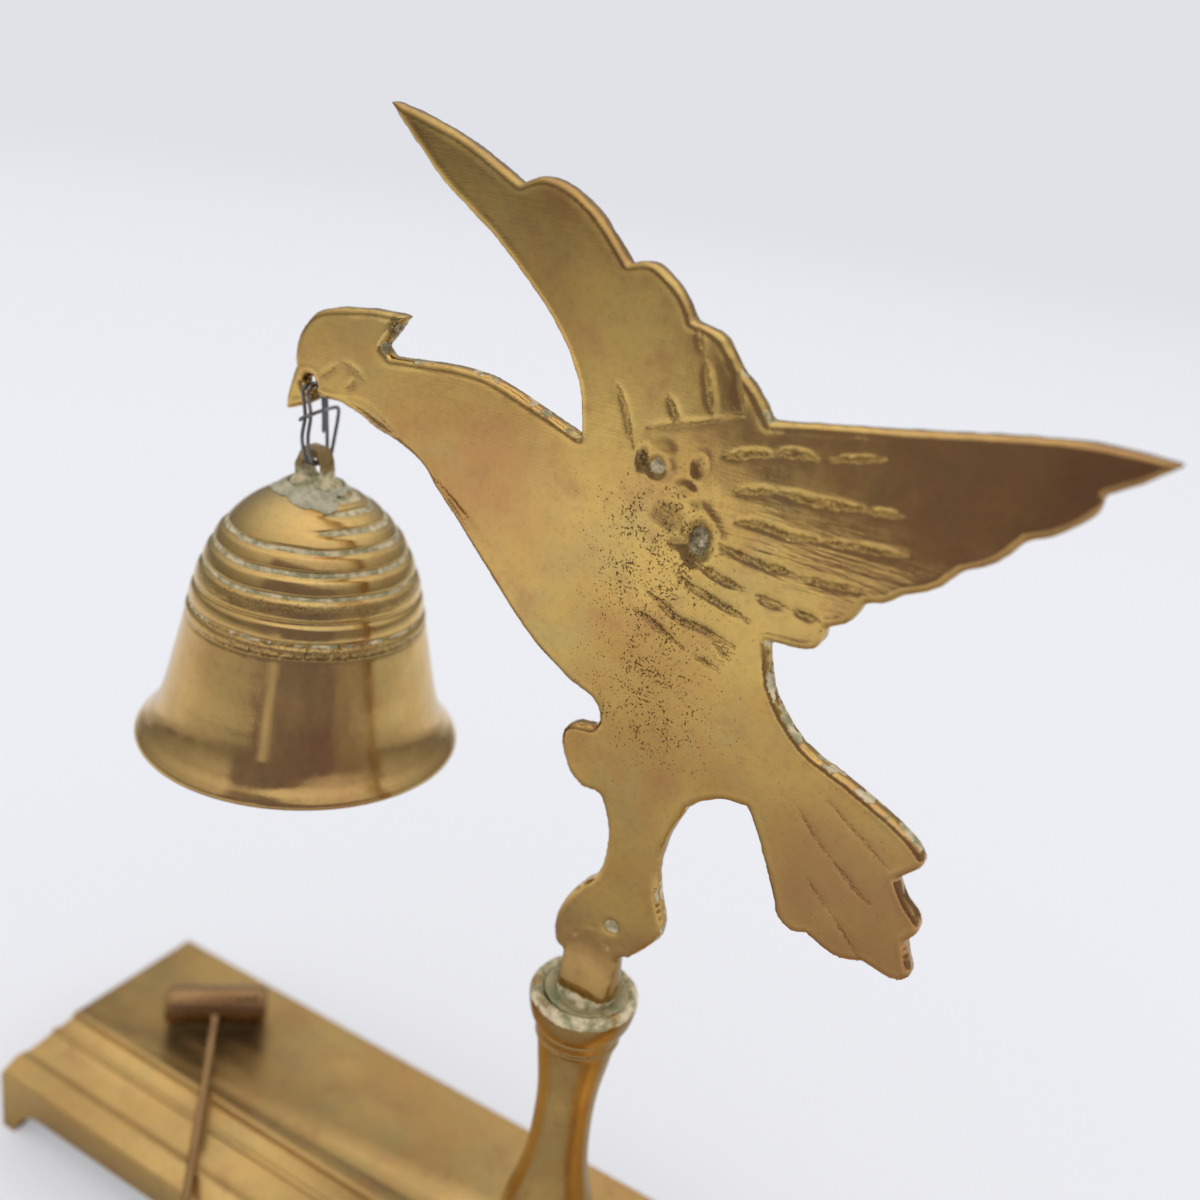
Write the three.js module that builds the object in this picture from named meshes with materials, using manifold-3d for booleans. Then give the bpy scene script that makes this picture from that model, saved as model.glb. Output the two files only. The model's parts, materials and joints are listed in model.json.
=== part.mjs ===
// A brass table bell: a flat cast bird on a turned column holds a bell on a wire loop, and a loose
// mallet lies on the moulded base. Millimetres, +Z up, +X along the base to the bird's tail and +Y to
// the back.
// Each piece is first placed about the column's axis, with z = 0 on the table; the whole object is then
// shifted so that its origin is the bottom centre of its bounding box.
import * as THREE from "three";
import { mergeVertices } from "three/addons/utils/BufferGeometryUtils.js";
import Module from "manifold-3d";

const wasm = await Module();
wasm.setup();

// ---- driving dimensions -------------------------------------------------------------------------
const ORIGIN_Y = -16.5; // the middle of the bounding box, as seen from the column's axis
const GAP = 0.3; // clearance between fixed neighbours

const BASE_LENGTH = 243;
const BASE_DEPTH = 54;
const BASE_TOP = 18.2;
const BASE_WALL = 3;
const BASE_CEILING = 14; // underside of the top plate
const FOOT_LENGTH = 3.6;
const ARCH_RISE = 7.6;
const ARCH_RUN = 8; // length of the curve from a foot up to the arch's flat

const COLUMN_TOP = 84.1;
const SOCKET_RADIUS = 5.6;
const SOCKET_FLOOR = 72;
const SCREW_RADIUS = 2.2;
const SCREW_TOP = 30;

const BIRD_THICKNESS = 3.6;
const STEM_RADIUS = 5;
const STEM_X = 0.4; // the stem stands a little off the column's axis
const BEAK_HOLE = { x: -69.4, z: 176.5, radius: 1.45 };

const WIRE_RADIUS = 0.38;
const WIRE_PITCH = 0.9; // sideways step from one turn of the wire to the next
const WIRE_TOP = { x: -69, z: 176.1 }; // where the wire passes through the beak
const WIRE_BOTTOM = { x: -67.6, z: 162.6 }; // where the wire passes through the crown

const BELL_X = WIRE_BOTTOM.x;
const BELL_WALL = 2.2;
const BELL_RIM = 109.5;
const BELL_CROWN = 158.4;
const CROWN_HOLE_RADIUS = 1.7;
const LUG_HOLE = { z: 162, radius: 1.6 };
const LUG_X = -0.5; // the eye stands a little off the bell's axis
const LUG_WIDTH = 6;
const LUG_DEPTH = 3.6;
const LUG_TOP = 165.4;
const LUG_FLANGE_RADIUS = 4.8;

const MALLET = { x: -95.2, y: 10, heading: -51.3, dip: 6.8 }; // centre of the head; degrees
const HEAD_RADIUS = 4.3;
const HEAD_LENGTH = 22.5;
const ROD_RADIUS = 0.95;
const ROD_LENGTH = 94; // from the middle of the head

// ---- finishes -----------------------------------------------------------------------------------
const finish = (color, roughness, metalness) =>
  new THREE.MeshStandardMaterial({ color, roughness, metalness });
const FINISH = {
  base: finish(0xb08d50, 0.38, 1),
  column: finish(0xa8823f, 0.3, 1),
  bird: finish(0xb3904c, 0.32, 1),
  bell: finish(0xb89246, 0.28, 1),
  lug: finish(0x8f8152, 0.5, 1),
  solder: finish(0x9a9c80, 0.8, 0.3),
  wire: finish(0x6f7076, 0.4, 1),
  steel: finish(0x8c8f94, 0.35, 1),
  mallet: finish(0xa07a45, 0.35, 1),
};

// ---- shared geometry helpers --------------------------------------------------------------------
const vectors = (points) => points.map(([a, b]) => new THREE.Vector2(a, b));
const smooth = (points, count) => new THREE.SplineCurve(vectors(points)).getPoints(count);

function solid(geometry) {
  const bare = geometry.index ? geometry.toNonIndexed() : geometry.clone();
  bare.deleteAttribute("normal");
  bare.deleteAttribute("uv");
  const merged = mergeVertices(bare, 1e-4);
  return new wasm.Manifold(
    new wasm.Mesh({
      numProp: 3,
      vertProperties: merged.attributes.position.array,
      triVerts: new Uint32Array(merged.index.array),
    }),
  );
}

function geometryOf(body) {
  const { vertProperties, triVerts } = body.getMesh();
  const geometry = new THREE.BufferGeometry();
  geometry.setAttribute("position", new THREE.BufferAttribute(vertProperties, 3));
  geometry.setIndex(new THREE.BufferAttribute(triVerts, 1));
  geometry.computeVertexNormals();
  return geometry;
}

// A turned body about the Z axis from [radius, z] points, listed upwards along the outside.
function turned(points, segments) {
  return new THREE.LatheGeometry(points, segments).rotateX(Math.PI / 2);
}

// A plate in the XZ plane, centred on y = 0.
function plate(shape, thickness, options = {}) {
  return new THREE.ExtrudeGeometry(shape, { depth: thickness, bevelEnabled: false, ...options })
    .translate(0, 0, -thickness / 2)
    .rotateX(Math.PI / 2);
}

function cylinder(radius, from, to, segments) {
  return new THREE.CylinderGeometry(radius, radius, to - from, segments)
    .rotateX(Math.PI / 2)
    .translate(0, 0, (from + to) / 2);
}

function mesh(name, geometry, material) {
  const piece = new THREE.Mesh(geometry, material);
  piece.name = name;
  return piece;
}

// ---- base ---------------------------------------------------------------------------------------
// The section is drawn in (y, z): a fascia, a sloping band, a shallow cove and two thin ribs along the
// front only, then the plain flat top and the back.
function baseSection() {
  const front = -BASE_DEPTH / 2;
  const back = BASE_DEPTH / 2;
  const section = new THREE.Shape();
  section.moveTo(front, 0);
  section.lineTo(front, 13.9);
  section.quadraticCurveTo(front + 0.1, 14.7, front + 0.8, 14.95);
  section.lineTo(-23.4, 16.3);
  section.bezierCurveTo(-22.2, 16.8, -21.6, 16, -20, 15.9);
  section.bezierCurveTo(-18, 15.8, -15.6, 16.3, -14, 16.7);
  section.quadraticCurveTo(-13.8, 17.4, -13.1, 17.4);
  section.quadraticCurveTo(-12.4, 17.4, -12.2, 16.8);
  section.lineTo(-8.5, 17.3);
  section.quadraticCurveTo(-8.2, 18.5, -7.5, 18.5);
  section.quadraticCurveTo(-6.9, 18.5, -6.5, BASE_TOP);
  section.lineTo(back - 0.8, BASE_TOP);
  section.quadraticCurveTo(back, BASE_TOP, back, BASE_TOP - 0.8);
  section.lineTo(back, 0);
  return section;
}

// The opening between the feet, in (x, z), cut right through from front to back.
function archShape() {
  const half = BASE_LENGTH / 2 - FOOT_LENGTH;
  const arch = new THREE.Shape();
  arch.moveTo(-half, -1);
  arch.lineTo(-half, 0);
  arch.quadraticCurveTo(-half + 3, ARCH_RISE, -half + ARCH_RUN, ARCH_RISE);
  arch.lineTo(half - ARCH_RUN, ARCH_RISE);
  arch.quadraticCurveTo(half - 3, ARCH_RISE, half, 0);
  arch.lineTo(half, -1);
  return arch;
}

function base() {
  const bar = new THREE.ExtrudeGeometry(baseSection(), {
    depth: BASE_LENGTH,
    bevelEnabled: false,
    curveSegments: 5,
  })
    .translate(0, 0, -BASE_LENGTH / 2)
    .applyMatrix4(new THREE.Matrix4().set(0, 0, 1, 0, 1, 0, 0, 0, 0, 1, 0, 0, 0, 0, 0, 1));
  const hollow = new THREE.BoxGeometry(
    BASE_LENGTH - 2 * BASE_WALL,
    BASE_DEPTH - 2 * BASE_WALL,
    BASE_CEILING + 1,
  ).translate(0, 0, (BASE_CEILING - 1) / 2);
  const arch = plate(archShape(), BASE_DEPTH + 2, { curveSegments: 8 });
  const hole = cylinder(SCREW_RADIUS + 0.5, BASE_CEILING - 1, BASE_TOP + 1, 24);
  const body = solid(bar).subtract(solid(hollow)).subtract(solid(arch)).subtract(solid(hole));
  return mesh("base", geometryOf(body), FINISH.base);
}

// ---- column and its screw -----------------------------------------------------------------------
function column() {
  const foot = BASE_TOP + GAP;
  const thread = SCREW_RADIUS + 0.15;
  const flare = smooth(
    [[12.6, 20.8], [11, 22.6], [9.5, 27], [9, 31.5], [8.2, 35.8], [6.9, 40.5], [5.8, 47], [5.4, 55],
     [5.6, 62], [6.5, 69], [7.2, 74]],
    14,
  );
  const cup = smooth([[7.5, 74.8], [8, 77]], 2);
  const lip = smooth(
    [[8.5, 77.6], [9.2, 80], [9.6, 82.2], [9.4, 83.6], [8.7, COLUMN_TOP], [7.9, 83.9], [7.3, 83]],
    9,
  );
  const profile = [
    ...vectors([[0, SCREW_TOP + 2], [thread, SCREW_TOP + 2], [thread, foot], [12.8, foot]]),
    ...flare,
    ...cup,
    ...lip,
    ...vectors([[7.1, 82.5], [SOCKET_RADIUS, 82.5], [SOCKET_RADIUS, SOCKET_FLOOR], [0, SOCKET_FLOOR]]),
  ];
  return mesh("column", turned(profile, 32), FINISH.column);
}

// The ring of soft solder that fills the recess round the bird's stem.
function socketSolder() {
  const floor = 82.5 + 0.1;
  const profile = vectors([
    [STEM_RADIUS + 0.25, floor],
    [6.5, floor],
    [6.7, floor + 0.5],
    [6, floor + 1.1],
    [STEM_RADIUS + 0.25, floor + 0.7],
    [STEM_RADIUS + 0.25, floor],
  ]);
  const ring = mesh("socket_solder", turned(profile, 32), FINISH.solder);
  ring.position.x = STEM_X;
  return ring;
}

function columnScrew() {
  const seat = BASE_CEILING - GAP - 1.2 - GAP;
  const profile = vectors([
    [0, seat - 3],
    [2.6, seat - 2.8],
    [4.2, seat - 1.9],
    [4.6, seat - 0.8],
    [4.6, seat],
    [SCREW_RADIUS, seat],
    [SCREW_RADIUS, SCREW_TOP - 0.6],
    [SCREW_RADIUS - 0.6, SCREW_TOP],
    [0, SCREW_TOP],
  ]);
  const slot = new THREE.BoxGeometry(12, 1.2, 3).translate(0, 0, seat - 3);
  const body = solid(turned(profile, 28)).subtract(solid(slot));
  return mesh("column_screw", geometryOf(body), FINISH.steel);
}

function screwWasher() {
  const top = BASE_CEILING - GAP;
  const inner = SCREW_RADIUS + 0.4;
  const profile = vectors([
    [inner, top - 1.2],
    [6.2, top - 1.2],
    [6.2, top],
    [inner, top],
    [inner, top - 1.2],
  ]);
  return mesh("screw_washer", turned(profile, 28), FINISH.steel);
}

// ---- bird ---------------------------------------------------------------------------------------
// The outline as smooth strokes in (x, z). One stroke ends where the next starts, and corners and
// notches lie between strokes. It runs from the tip of the beak over the head and round to the breast.
const BIRD_STROKES = [
  [[-74.3, 170.8], [-74, 174.7], [-72.6, 178.7]], // front of the beak
  [[-72.6, 178.7], [-72.9, 181.9], [-71.6, 185.4], [-69.2, 188.3], [-65.3, 190.1], [-57.4, 191.4],
   [-50.2, 191.7]],
  [[-50.2, 191.7], [-54.5, 185.8]], // back of the crest
  [[-54.5, 185.8], [-52.6, 184.5]],
  [[-52.6, 184.5], [-47, 185.1], [-40.1, 185.7], [-32.6, 185.4], [-25, 183.2], [-15.9, 180.2]], // nape
  [[-15.9, 180.2], [-16.9, 186], [-19.3, 191.3], [-24.7, 197.7], [-34.9, 206.2], [-46, 213.2],
   [-57.4, 223.6]],
  [[-57.4, 223.6], [-50.8, 222.3], [-41.3, 219.4], [-31.7, 215]], // raised wing, feather by feather
  [[-31.7, 215], [-26.7, 216.6], [-19.2, 213.5], [-12.1, 206.9]],
  [[-12.1, 206.9], [-8, 207.6], [-3, 204.4], [-0.6, 200.9]],
  [[-0.6, 200.9], [4.1, 199.8], [8.1, 195.4]],
  [[8.1, 195.4], [10.9, 193.2], [13.6, 189.8]],
  [[13.6, 189.8], [31.2, 192.9], [50, 196.4], [58.4, 197.2], [66.4, 197]], // top of the far wing
  [[66.4, 197], [63, 193.9], [58.7, 191]], // trailing feathers
  [[58.7, 191], [58.3, 188.3], [54.6, 184.6], [51.2, 182.8]],
  [[51.2, 182.8], [48.3, 178.9], [44.2, 176.5]],
  [[44.2, 176.5], [41.6, 173.1], [37.2, 170.7]],
  [[37.2, 170.7], [35.2, 168.9], [32.7, 168.2]],
  [[32.7, 168.2], [30.9, 164.6], [27.9, 162.9]],
  [[27.9, 162.9], [27.6, 160.4], [25.8, 158.6], [19.8, 158]],
  [[19.8, 158], [22.3, 150.4], [28.4, 144], [37, 140.5], [44.8, 137], [49, 134.2], [49.6, 132],
   [46.7, 128.8]],
  [[46.7, 128.8], [48.6, 125.9], [51.2, 123.3], [51.5, 121.3], [50.2, 119.2]], // ends of the tail feathers
  [[50.2, 119.2], [51.4, 116.3], [52.3, 114.2], [51, 112.4], [48.8, 112.1], [45, 112.9]],
  [[45, 112.9], [41.9, 111.8], [39.3, 112], [35.7, 113.6]],
  [[35.7, 113.6], [33.4, 112.9], [30.8, 114.3], [29.2, 117.4], [27, 122], [25.2, 125.9], [22.2, 130.6]],
  [[22.2, 130.6], [18, 130.1], [14.6, 128.3], [12.6, 126.2]], // between the tail and the leg
  [[12.6, 126.2], [10.9, 121.7], [9.7, 116.2], [10.1, 110.1], [12, 104.6], [12.2, 101.3], [9.8, 97.4],
   [6.6, 93.4]],
  [[6.6, 93.4], [-4.2, 90.8]], // leg and foot
  [[-4.2, 90.8], [-6.3, 92.8], [-7.2, 96.2], [-5.6, 101.4], [-2.9, 105.5]],
  [[-2.9, 105.5], [-0.8, 108], [0, 112.6], [-0.6, 118.2], [-2.8, 122.4], [-4.9, 122.6]],
  [[-4.9, 122.6], [-7, 123], [-9.3, 124.9], [-11.1, 128.6], [-11.3, 131.2], [-10.3, 132.9], [-8.3, 133.7],
   [-6, 134]],
  [[-6, 134], [-5.1, 135.2], [-5.3, 136.9]],
  [[-5.3, 136.9], [-7.1, 138.9], [-12, 140.7], [-20.8, 146], [-30, 154.6], [-39.7, 163.7], [-44.7, 168.4],
   [-48.9, 170.4], [-54.4, 172], [-58.6, 173.6], [-63, 174.6], [-65.6, 174.5], // breast, throat and chin
   [-67.2, 174.8]],
  [[-67.2, 174.8], [-69.7, 172.7], [-74.3, 170.8]], // underside of the beak
];

function birdShape() {
  const shape = new THREE.Shape();
  shape.moveTo(...BIRD_STROKES[0][0]);
  for (const stroke of BIRD_STROKES) {
    const [, ...rest] = vectors(stroke);
    if (rest.length === 1) shape.lineTo(rest[0].x, rest[0].y);
    else shape.splineThru(rest);
  }
  const hole = new THREE.Path();
  hole.absarc(BEAK_HOLE.x, BEAK_HOLE.z, BEAK_HOLE.radius, 0, 2 * Math.PI);
  shape.holes.push(hole);
  return shape;
}

function bird() {
  const stem = vectors([
    [0, SOCKET_FLOOR + 2],
    [STEM_RADIUS - 0.5, SOCKET_FLOOR + 2],
    [STEM_RADIUS, SOCKET_FLOOR + 2.5],
    [STEM_RADIUS, 88.5],
    [4.8, 90.5],
    [4.2, 93],
    [3.1, 95.8],
    [1.6, 98.5],
    [0, 100],
  ]);
  const cast = solid(plate(birdShape(), BIRD_THICKNESS, { curveSegments: 3 }));
  const stud = solid(turned(stem, 32).translate(STEM_X, 0, 0));
  return mesh("bird", geometryOf(cast.add(stud)), FINISH.bird);
}

// ---- bell, its lug and the solder round it ------------------------------------------------------
// A ring groove is cut as a shallow V at each of these heights.
const GROOVES = [153.4, 150.9, 147.7, 144.2, 140.6, 138];
const SHOULDER = 134.8;

function bellOutside() {
  const rim = BELL_RIM;
  const curve = new THREE.SplineCurve(
    vectors([
      [28.9, rim],
      [29.6, rim + 0.4],
      [29.7, rim + 1.1],
      [29, rim + 2.1],
      [27.5, rim + 3.9],
      [25.8, rim + 6.8],
      [24.6, rim + 10.8],
      [23.4, rim + 16.1],
      [22.3, rim + 21.1],
      [21.4, SHOULDER],
      [20.1, 140.3],
      [18.4, 144.9],
      [16.4, 149],
      [13.8, 152.8],
      [10, 156],
      [5.6, 157.9],
      [CROWN_HOLE_RADIUS, BELL_CROWN],
    ]),
  );
  const outside = curve.getPoints(34);
  for (const height of GROOVES) {
    const nearest = outside.reduce((a, b) => (Math.abs(b.y - height) < Math.abs(a.y - height) ? b : a));
    nearest.x -= 0.45;
    nearest.y -= 0.2;
  }
  return outside;
}

function bell() {
  const rim = BELL_RIM;
  const inside = smooth(
    [[CROWN_HOLE_RADIUS, BELL_CROWN - BELL_WALL], [5.2, 155.6], [9, 153.9], [12, 151.2], [14.3, 147.8],
     [16.3, 143.8], [18, 139.4], [19.3, 134], [20.3, rim + 20.7], [21.3, rim + 15.7], [22.5, rim + 10.4],
     [23.8, rim + 6.2], [25.5, rim + 3.1], [27, rim + 1.3], [28.1, rim + 0.1]],
    14,
  );
  const outside = bellOutside();
  const profile = [...outside, ...inside, outside[0].clone()];
  const piece = mesh("bell", turned(profile, 40), FINISH.bell);
  piece.position.x = BELL_X;
  return piece;
}

function lugShape() {
  const half = LUG_WIDTH / 2;
  const shape = new THREE.Shape();
  shape.moveTo(-half - 0.4, BELL_CROWN + GAP + 0.4);
  shape.quadraticCurveTo(-half, LUG_HOLE.z - 1.6, -half, LUG_HOLE.z + 0.4);
  shape.lineTo(-half + 0.5, LUG_TOP - 1.5);
  shape.lineTo(-1.7, LUG_TOP);
  shape.lineTo(1.7, LUG_TOP);
  shape.lineTo(half - 0.5, LUG_TOP - 1.5);
  shape.lineTo(half, LUG_HOLE.z + 0.4);
  shape.quadraticCurveTo(half, LUG_HOLE.z - 1.6, half + 0.4, BELL_CROWN + GAP + 0.4);
  const hole = new THREE.Path();
  hole.absarc(-LUG_X, LUG_HOLE.z, LUG_HOLE.radius, 0, 2 * Math.PI);
  shape.holes.push(hole);
  return shape;
}

// The lug's round flange sits on the crown, and its tail goes through the bell and is peened inside.
function crownLug() {
  const seat = BELL_CROWN + GAP;
  const inside = BELL_CROWN - BELL_WALL - GAP;
  const shank = vectors([
    [0, inside - 1.4],
    [2.2, inside - 1.2],
    [2.9, inside - 0.4],
    [2.7, inside],
    [CROWN_HOLE_RADIUS - 0.25, inside],
    [CROWN_HOLE_RADIUS - 0.25, seat],
    [LUG_FLANGE_RADIUS, seat],
    [LUG_FLANGE_RADIUS - 0.3, seat + 0.5],
    [3, seat + 0.8],
    [0, seat + 0.8],
  ]);
  const eye = plate(lugShape(), LUG_DEPTH, { curveSegments: 10 }).translate(LUG_X, 0, 0);
  const piece = mesh("crown_lug", geometryOf(solid(eye).add(solid(turned(shank, 32)))), FINISH.lug);
  piece.position.x = BELL_X;
  return piece;
}

function crownSolder() {
  const inner = LUG_FLANGE_RADIUS + 0.25;
  const profile = vectors([
    [inner, 158.5],
    [6.4, 158.1],
    [8.2, 157.4],
    [8.4, 157.8],
    [6.8, 158.9],
    [inner, 159.3],
    [inner, 158.5],
  ]);
  const piece = mesh("crown_solder", turned(profile, 36), FINISH.solder);
  piece.position.x = BELL_X;
  return piece;
}

// ---- hanging wire -------------------------------------------------------------------------------
// One turn of the loop in (y, z), from the middle of the beak hole forwards, down, through the crown
// and up the back. The wire makes nearly two turns and ends with a tie across the front.
const TURN = [
  [0, WIRE_TOP.z],
  [-1.9, WIRE_TOP.z - 0.1],
  [-2.7, 174.7],
  [-2.9, 171.2],
  [-3, 167.4],
  [-3, 164.4],
  [-2.2, WIRE_BOTTOM.z + 0.1],
  [0, WIRE_BOTTOM.z],
  [2.2, WIRE_BOTTOM.z + 0.1],
  [3, 164.4],
  [3.1, 167.4],
  [3, 171.2],
  [2.7, 174.7],
  [1.9, WIRE_TOP.z - 0.1],
];

function wirePoint(step) {
  const count = TURN.length;
  const [y, z] = TURN[((step % count) + count) % count];
  const lean = (WIRE_TOP.z - z) / (WIRE_TOP.z - WIRE_BOTTOM.z);
  const middle = THREE.MathUtils.lerp(WIRE_TOP.x, WIRE_BOTTOM.x, lean);
  return new THREE.Vector3(middle + WIRE_PITCH * (step / count - 0.75), y, z);
}

function hangingWire() {
  const points = [];
  for (let step = -2; step <= 2 * TURN.length - 4; step++) points.push(wirePoint(step));
  const { x } = points.at(-1);
  points.push(
    new THREE.Vector3(x + 0.2, 2.4, 172),
    new THREE.Vector3(x + 0.3, 0, 172),
    new THREE.Vector3(x + 0.2, -2.8, 171.4),
    new THREE.Vector3(x - 0.4, -3.9, 170.9),
    new THREE.Vector3(x - 1.5, -4.1, 170.4),
    new THREE.Vector3(x - 2.2, -3.9, 169.8),
  );
  const path = new THREE.CatmullRomCurve3(points, false, "centripetal");
  const round = new THREE.Shape().absarc(0, 0, WIRE_RADIUS, 0, 2 * Math.PI);
  const geometry = new THREE.ExtrudeGeometry(round, { steps: 110, curveSegments: 3, extrudePath: path });
  return mesh("hanging_wire", geometry, FINISH.wire);
}

// ---- mallet -------------------------------------------------------------------------------------
// In its own frame the rod runs along +X from the middle of the head, whose axis is Y.
function malletHead() {
  const half = HEAD_LENGTH / 2;
  const profile = vectors([
    [0, -half],
    [HEAD_RADIUS - 1, -half],
    [HEAD_RADIUS - 0.2, -half + 0.6],
    [HEAD_RADIUS, -half + 1.4],
    [HEAD_RADIUS, half - 1.4],
    [HEAD_RADIUS - 0.2, half - 0.6],
    [HEAD_RADIUS - 1, half],
    [0, half],
  ]);
  const barrel = turned(profile, 36).rotateX(-Math.PI / 2);
  const bore = cylinder(ROD_RADIUS + 0.15, -1, HEAD_RADIUS + 1, 20).rotateY(Math.PI / 2);
  return mesh("mallet_head", geometryOf(solid(barrel).subtract(solid(bore))), FINISH.mallet);
}

function malletRod() {
  const start = -1 + GAP;
  const profile = vectors([
    [0, start],
    [ROD_RADIUS, start],
    [ROD_RADIUS, ROD_LENGTH - 0.6],
    [ROD_RADIUS - 0.4, ROD_LENGTH - 0.1],
    [0, ROD_LENGTH],
  ]);
  return mesh("mallet_rod", turned(profile, 16).rotateY(Math.PI / 2), FINISH.mallet);
}

function mallet() {
  const group = new THREE.Group();
  group.add(malletHead(), malletRod());
  const { degToRad } = THREE.MathUtils;
  group.rotation.set(0, degToRad(MALLET.dip), degToRad(MALLET.heading), "ZYX");
  group.position.set(MALLET.x, MALLET.y, BASE_TOP + GAP + HEAD_RADIUS);
  return group;
}

// ---- the whole object ---------------------------------------------------------------------------
const object = new THREE.Group();
object.add(base(), column(), columnScrew(), screwWasher(), socketSolder(), bird());
object.add(hangingWire(), bell(), crownLug(), crownSolder(), mallet());
object.position.y = -ORIGIN_Y;

export default object;
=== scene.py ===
"""Looks for the brass bird bell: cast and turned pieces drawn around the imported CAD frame.

Shapes are in millimetres about the column's axis, with z = 0 on the table, and are placed by the CAD
boxes and the joints. The bird and the crown lug are remeshed copies of their CAD nodes. The base,
screw and washer keep their CAD meshes with rounded edges, and everything else is drawn here.
"""

import json
import math

import bmesh
import bpy
import numpy as np
from mathutils import Matrix, Vector
from mathutils.kdtree import KDTree


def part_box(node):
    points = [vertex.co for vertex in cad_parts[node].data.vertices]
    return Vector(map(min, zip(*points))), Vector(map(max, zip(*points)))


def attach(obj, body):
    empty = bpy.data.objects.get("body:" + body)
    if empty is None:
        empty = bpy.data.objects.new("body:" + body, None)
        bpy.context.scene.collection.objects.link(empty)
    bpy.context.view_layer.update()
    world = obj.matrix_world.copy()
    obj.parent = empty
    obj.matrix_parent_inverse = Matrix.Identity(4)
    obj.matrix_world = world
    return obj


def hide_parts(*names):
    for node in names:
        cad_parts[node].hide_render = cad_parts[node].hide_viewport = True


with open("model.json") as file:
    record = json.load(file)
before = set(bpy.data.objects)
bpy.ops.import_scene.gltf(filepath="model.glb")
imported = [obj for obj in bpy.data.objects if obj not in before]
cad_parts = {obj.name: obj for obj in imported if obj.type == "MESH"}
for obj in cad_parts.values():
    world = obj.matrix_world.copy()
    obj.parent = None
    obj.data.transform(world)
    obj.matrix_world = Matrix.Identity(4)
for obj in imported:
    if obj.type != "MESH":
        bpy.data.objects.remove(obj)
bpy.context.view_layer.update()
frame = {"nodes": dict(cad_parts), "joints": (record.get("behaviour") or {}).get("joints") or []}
MM = 0.001


# ---- places taken from the CAD ----
def box_mm(node):
    low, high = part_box(node)
    return np.array(low) / MM, np.array(high) / MM


def heights(node):
    low, high = box_mm(node)
    return low[2], high[2]


def joint_place(name):
    return next(np.array(j["pos_m"]) / MM for j in frame["joints"] if j["name"] == name)


def centre_of(node):
    low, high = box_mm(node)
    return (low + high) / 2


AXIS = centre_of("column")[:2]  # the column's axis in the row frame, x and y
_, BASE_TOP = heights("base")
COLUMN_FOOT, COLUMN_TOP = heights("column")
SOCKET_FOOT, SOCKET_TOP = heights("socket_solder")
BELL_AXIS = centre_of("bell")[:2]
BELL_RIM, BELL_CROWN = heights("bell")
BELL_RADIUS = (box_mm("bell")[1][0] - box_mm("bell")[0][0]) / 2
STEM_AXIS = centre_of("socket_solder")[:2]
BEAK = joint_place("wire_swing")
CROWN = joint_place("bell_tilt")


# ---- numbers ----
def smooth_step(value, start, end):
    t = np.clip((value - start) / (end - start), 0, 1)
    return t * t * (3 - 2 * t)


def hump(value, centre, width):
    """1 at the centre, falling smoothly to nearly 0 at twice the width."""
    return np.exp(-(((value - centre) / width) ** 2))


def value_noise(points, size, seed):
    """Smooth noise between -1 and 1 at each point, with features about `size` across."""
    scaled = np.asarray(points, float) / size
    cell = np.floor(scaled).astype(np.int64)
    t = scaled - cell
    t = t * t * (3 - 2 * t)
    total = np.zeros(len(scaled))
    for corner in np.ndindex(*(2,) * scaled.shape[1]):
        mixed = np.full(len(scaled), seed * 2246822519 + 374761393, np.int64)
        for axis, prime in enumerate((73856093, 19349663, 83492791)[: scaled.shape[1]]):
            mixed = mixed ^ ((cell[:, axis] + corner[axis]) * prime)
        mixed = (mixed ^ (mixed >> 13)) * 1274126177
        mixed = (mixed ^ (mixed >> 16)) & 0xFFFF
        weight = np.prod(np.where(np.array(corner) == 1, t, 1 - t), axis=1)
        total += weight * (mixed / 32767.5 - 1)
    return total


def curve(points, count):
    """A Catmull-Rom curve through the points, evenly sampled along its length."""
    p = np.array(points, float)
    p = np.vstack([2 * p[0] - p[1], p, 2 * p[-1] - p[-2]])
    t = np.linspace(0, 1, 24, endpoint=False)[:, None]
    dense = []
    for a, b, c, d in zip(p, p[1:], p[2:], p[3:]):
        bend = (2 * a - 5 * b + 4 * c - d) * t**2 + (3 * b - a - 3 * c + d) * t**3
        dense.append(0.5 * (2 * b + (c - a) * t + bend))
    dense = np.vstack([*dense, p[-2:-1]])
    along = np.concatenate([[0], np.cumsum(np.linalg.norm(np.diff(dense, axis=0), axis=1))])
    wanted = np.linspace(0, along[-1], count)
    return np.stack([np.interp(wanted, along, dense[:, i]) for i in range(dense.shape[1])], 1)


# ---- meshes ----
WELD = 2e-6  # metres within which CAD vertices are the same


def placed(name, data):
    """A new object holding the data, in the scene."""
    made = bpy.data.objects.new(name, data)
    bpy.context.scene.collection.objects.link(made)
    return made


def face_out(mesh, weld=0):
    """Turns every face outwards, after merging vertices closer than the weld distance."""
    shape = bmesh.new()
    shape.from_mesh(mesh)
    if weld:
        bmesh.ops.remove_doubles(shape, verts=shape.verts, dist=weld)
    bmesh.ops.recalc_face_normals(shape, faces=shape.faces)
    shape.to_mesh(mesh)
    shape.free()


def smooth_faces(piece):
    piece.data.polygons.foreach_set("use_smooth", [True] * len(piece.data.polygons))


def coat(piece, material):
    piece.data.materials.clear()
    piece.data.materials.append(material)


def new_piece(name, verts_mm, faces, material, body, replaced):
    mesh = bpy.data.meshes.new(name)
    mesh.from_pydata((np.asarray(verts_mm, float) * MM).tolist(), [], faces)
    mesh.validate()
    face_out(mesh)
    return dress(placed(name, mesh), material, body, replaced)


def dress(piece, material, body, replaced):
    """Gives a piece its material and body, and puts it in a CAD node's place."""
    smooth_faces(piece)
    coat(piece, material)
    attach(piece, body)
    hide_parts(replaced)
    return piece


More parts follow.
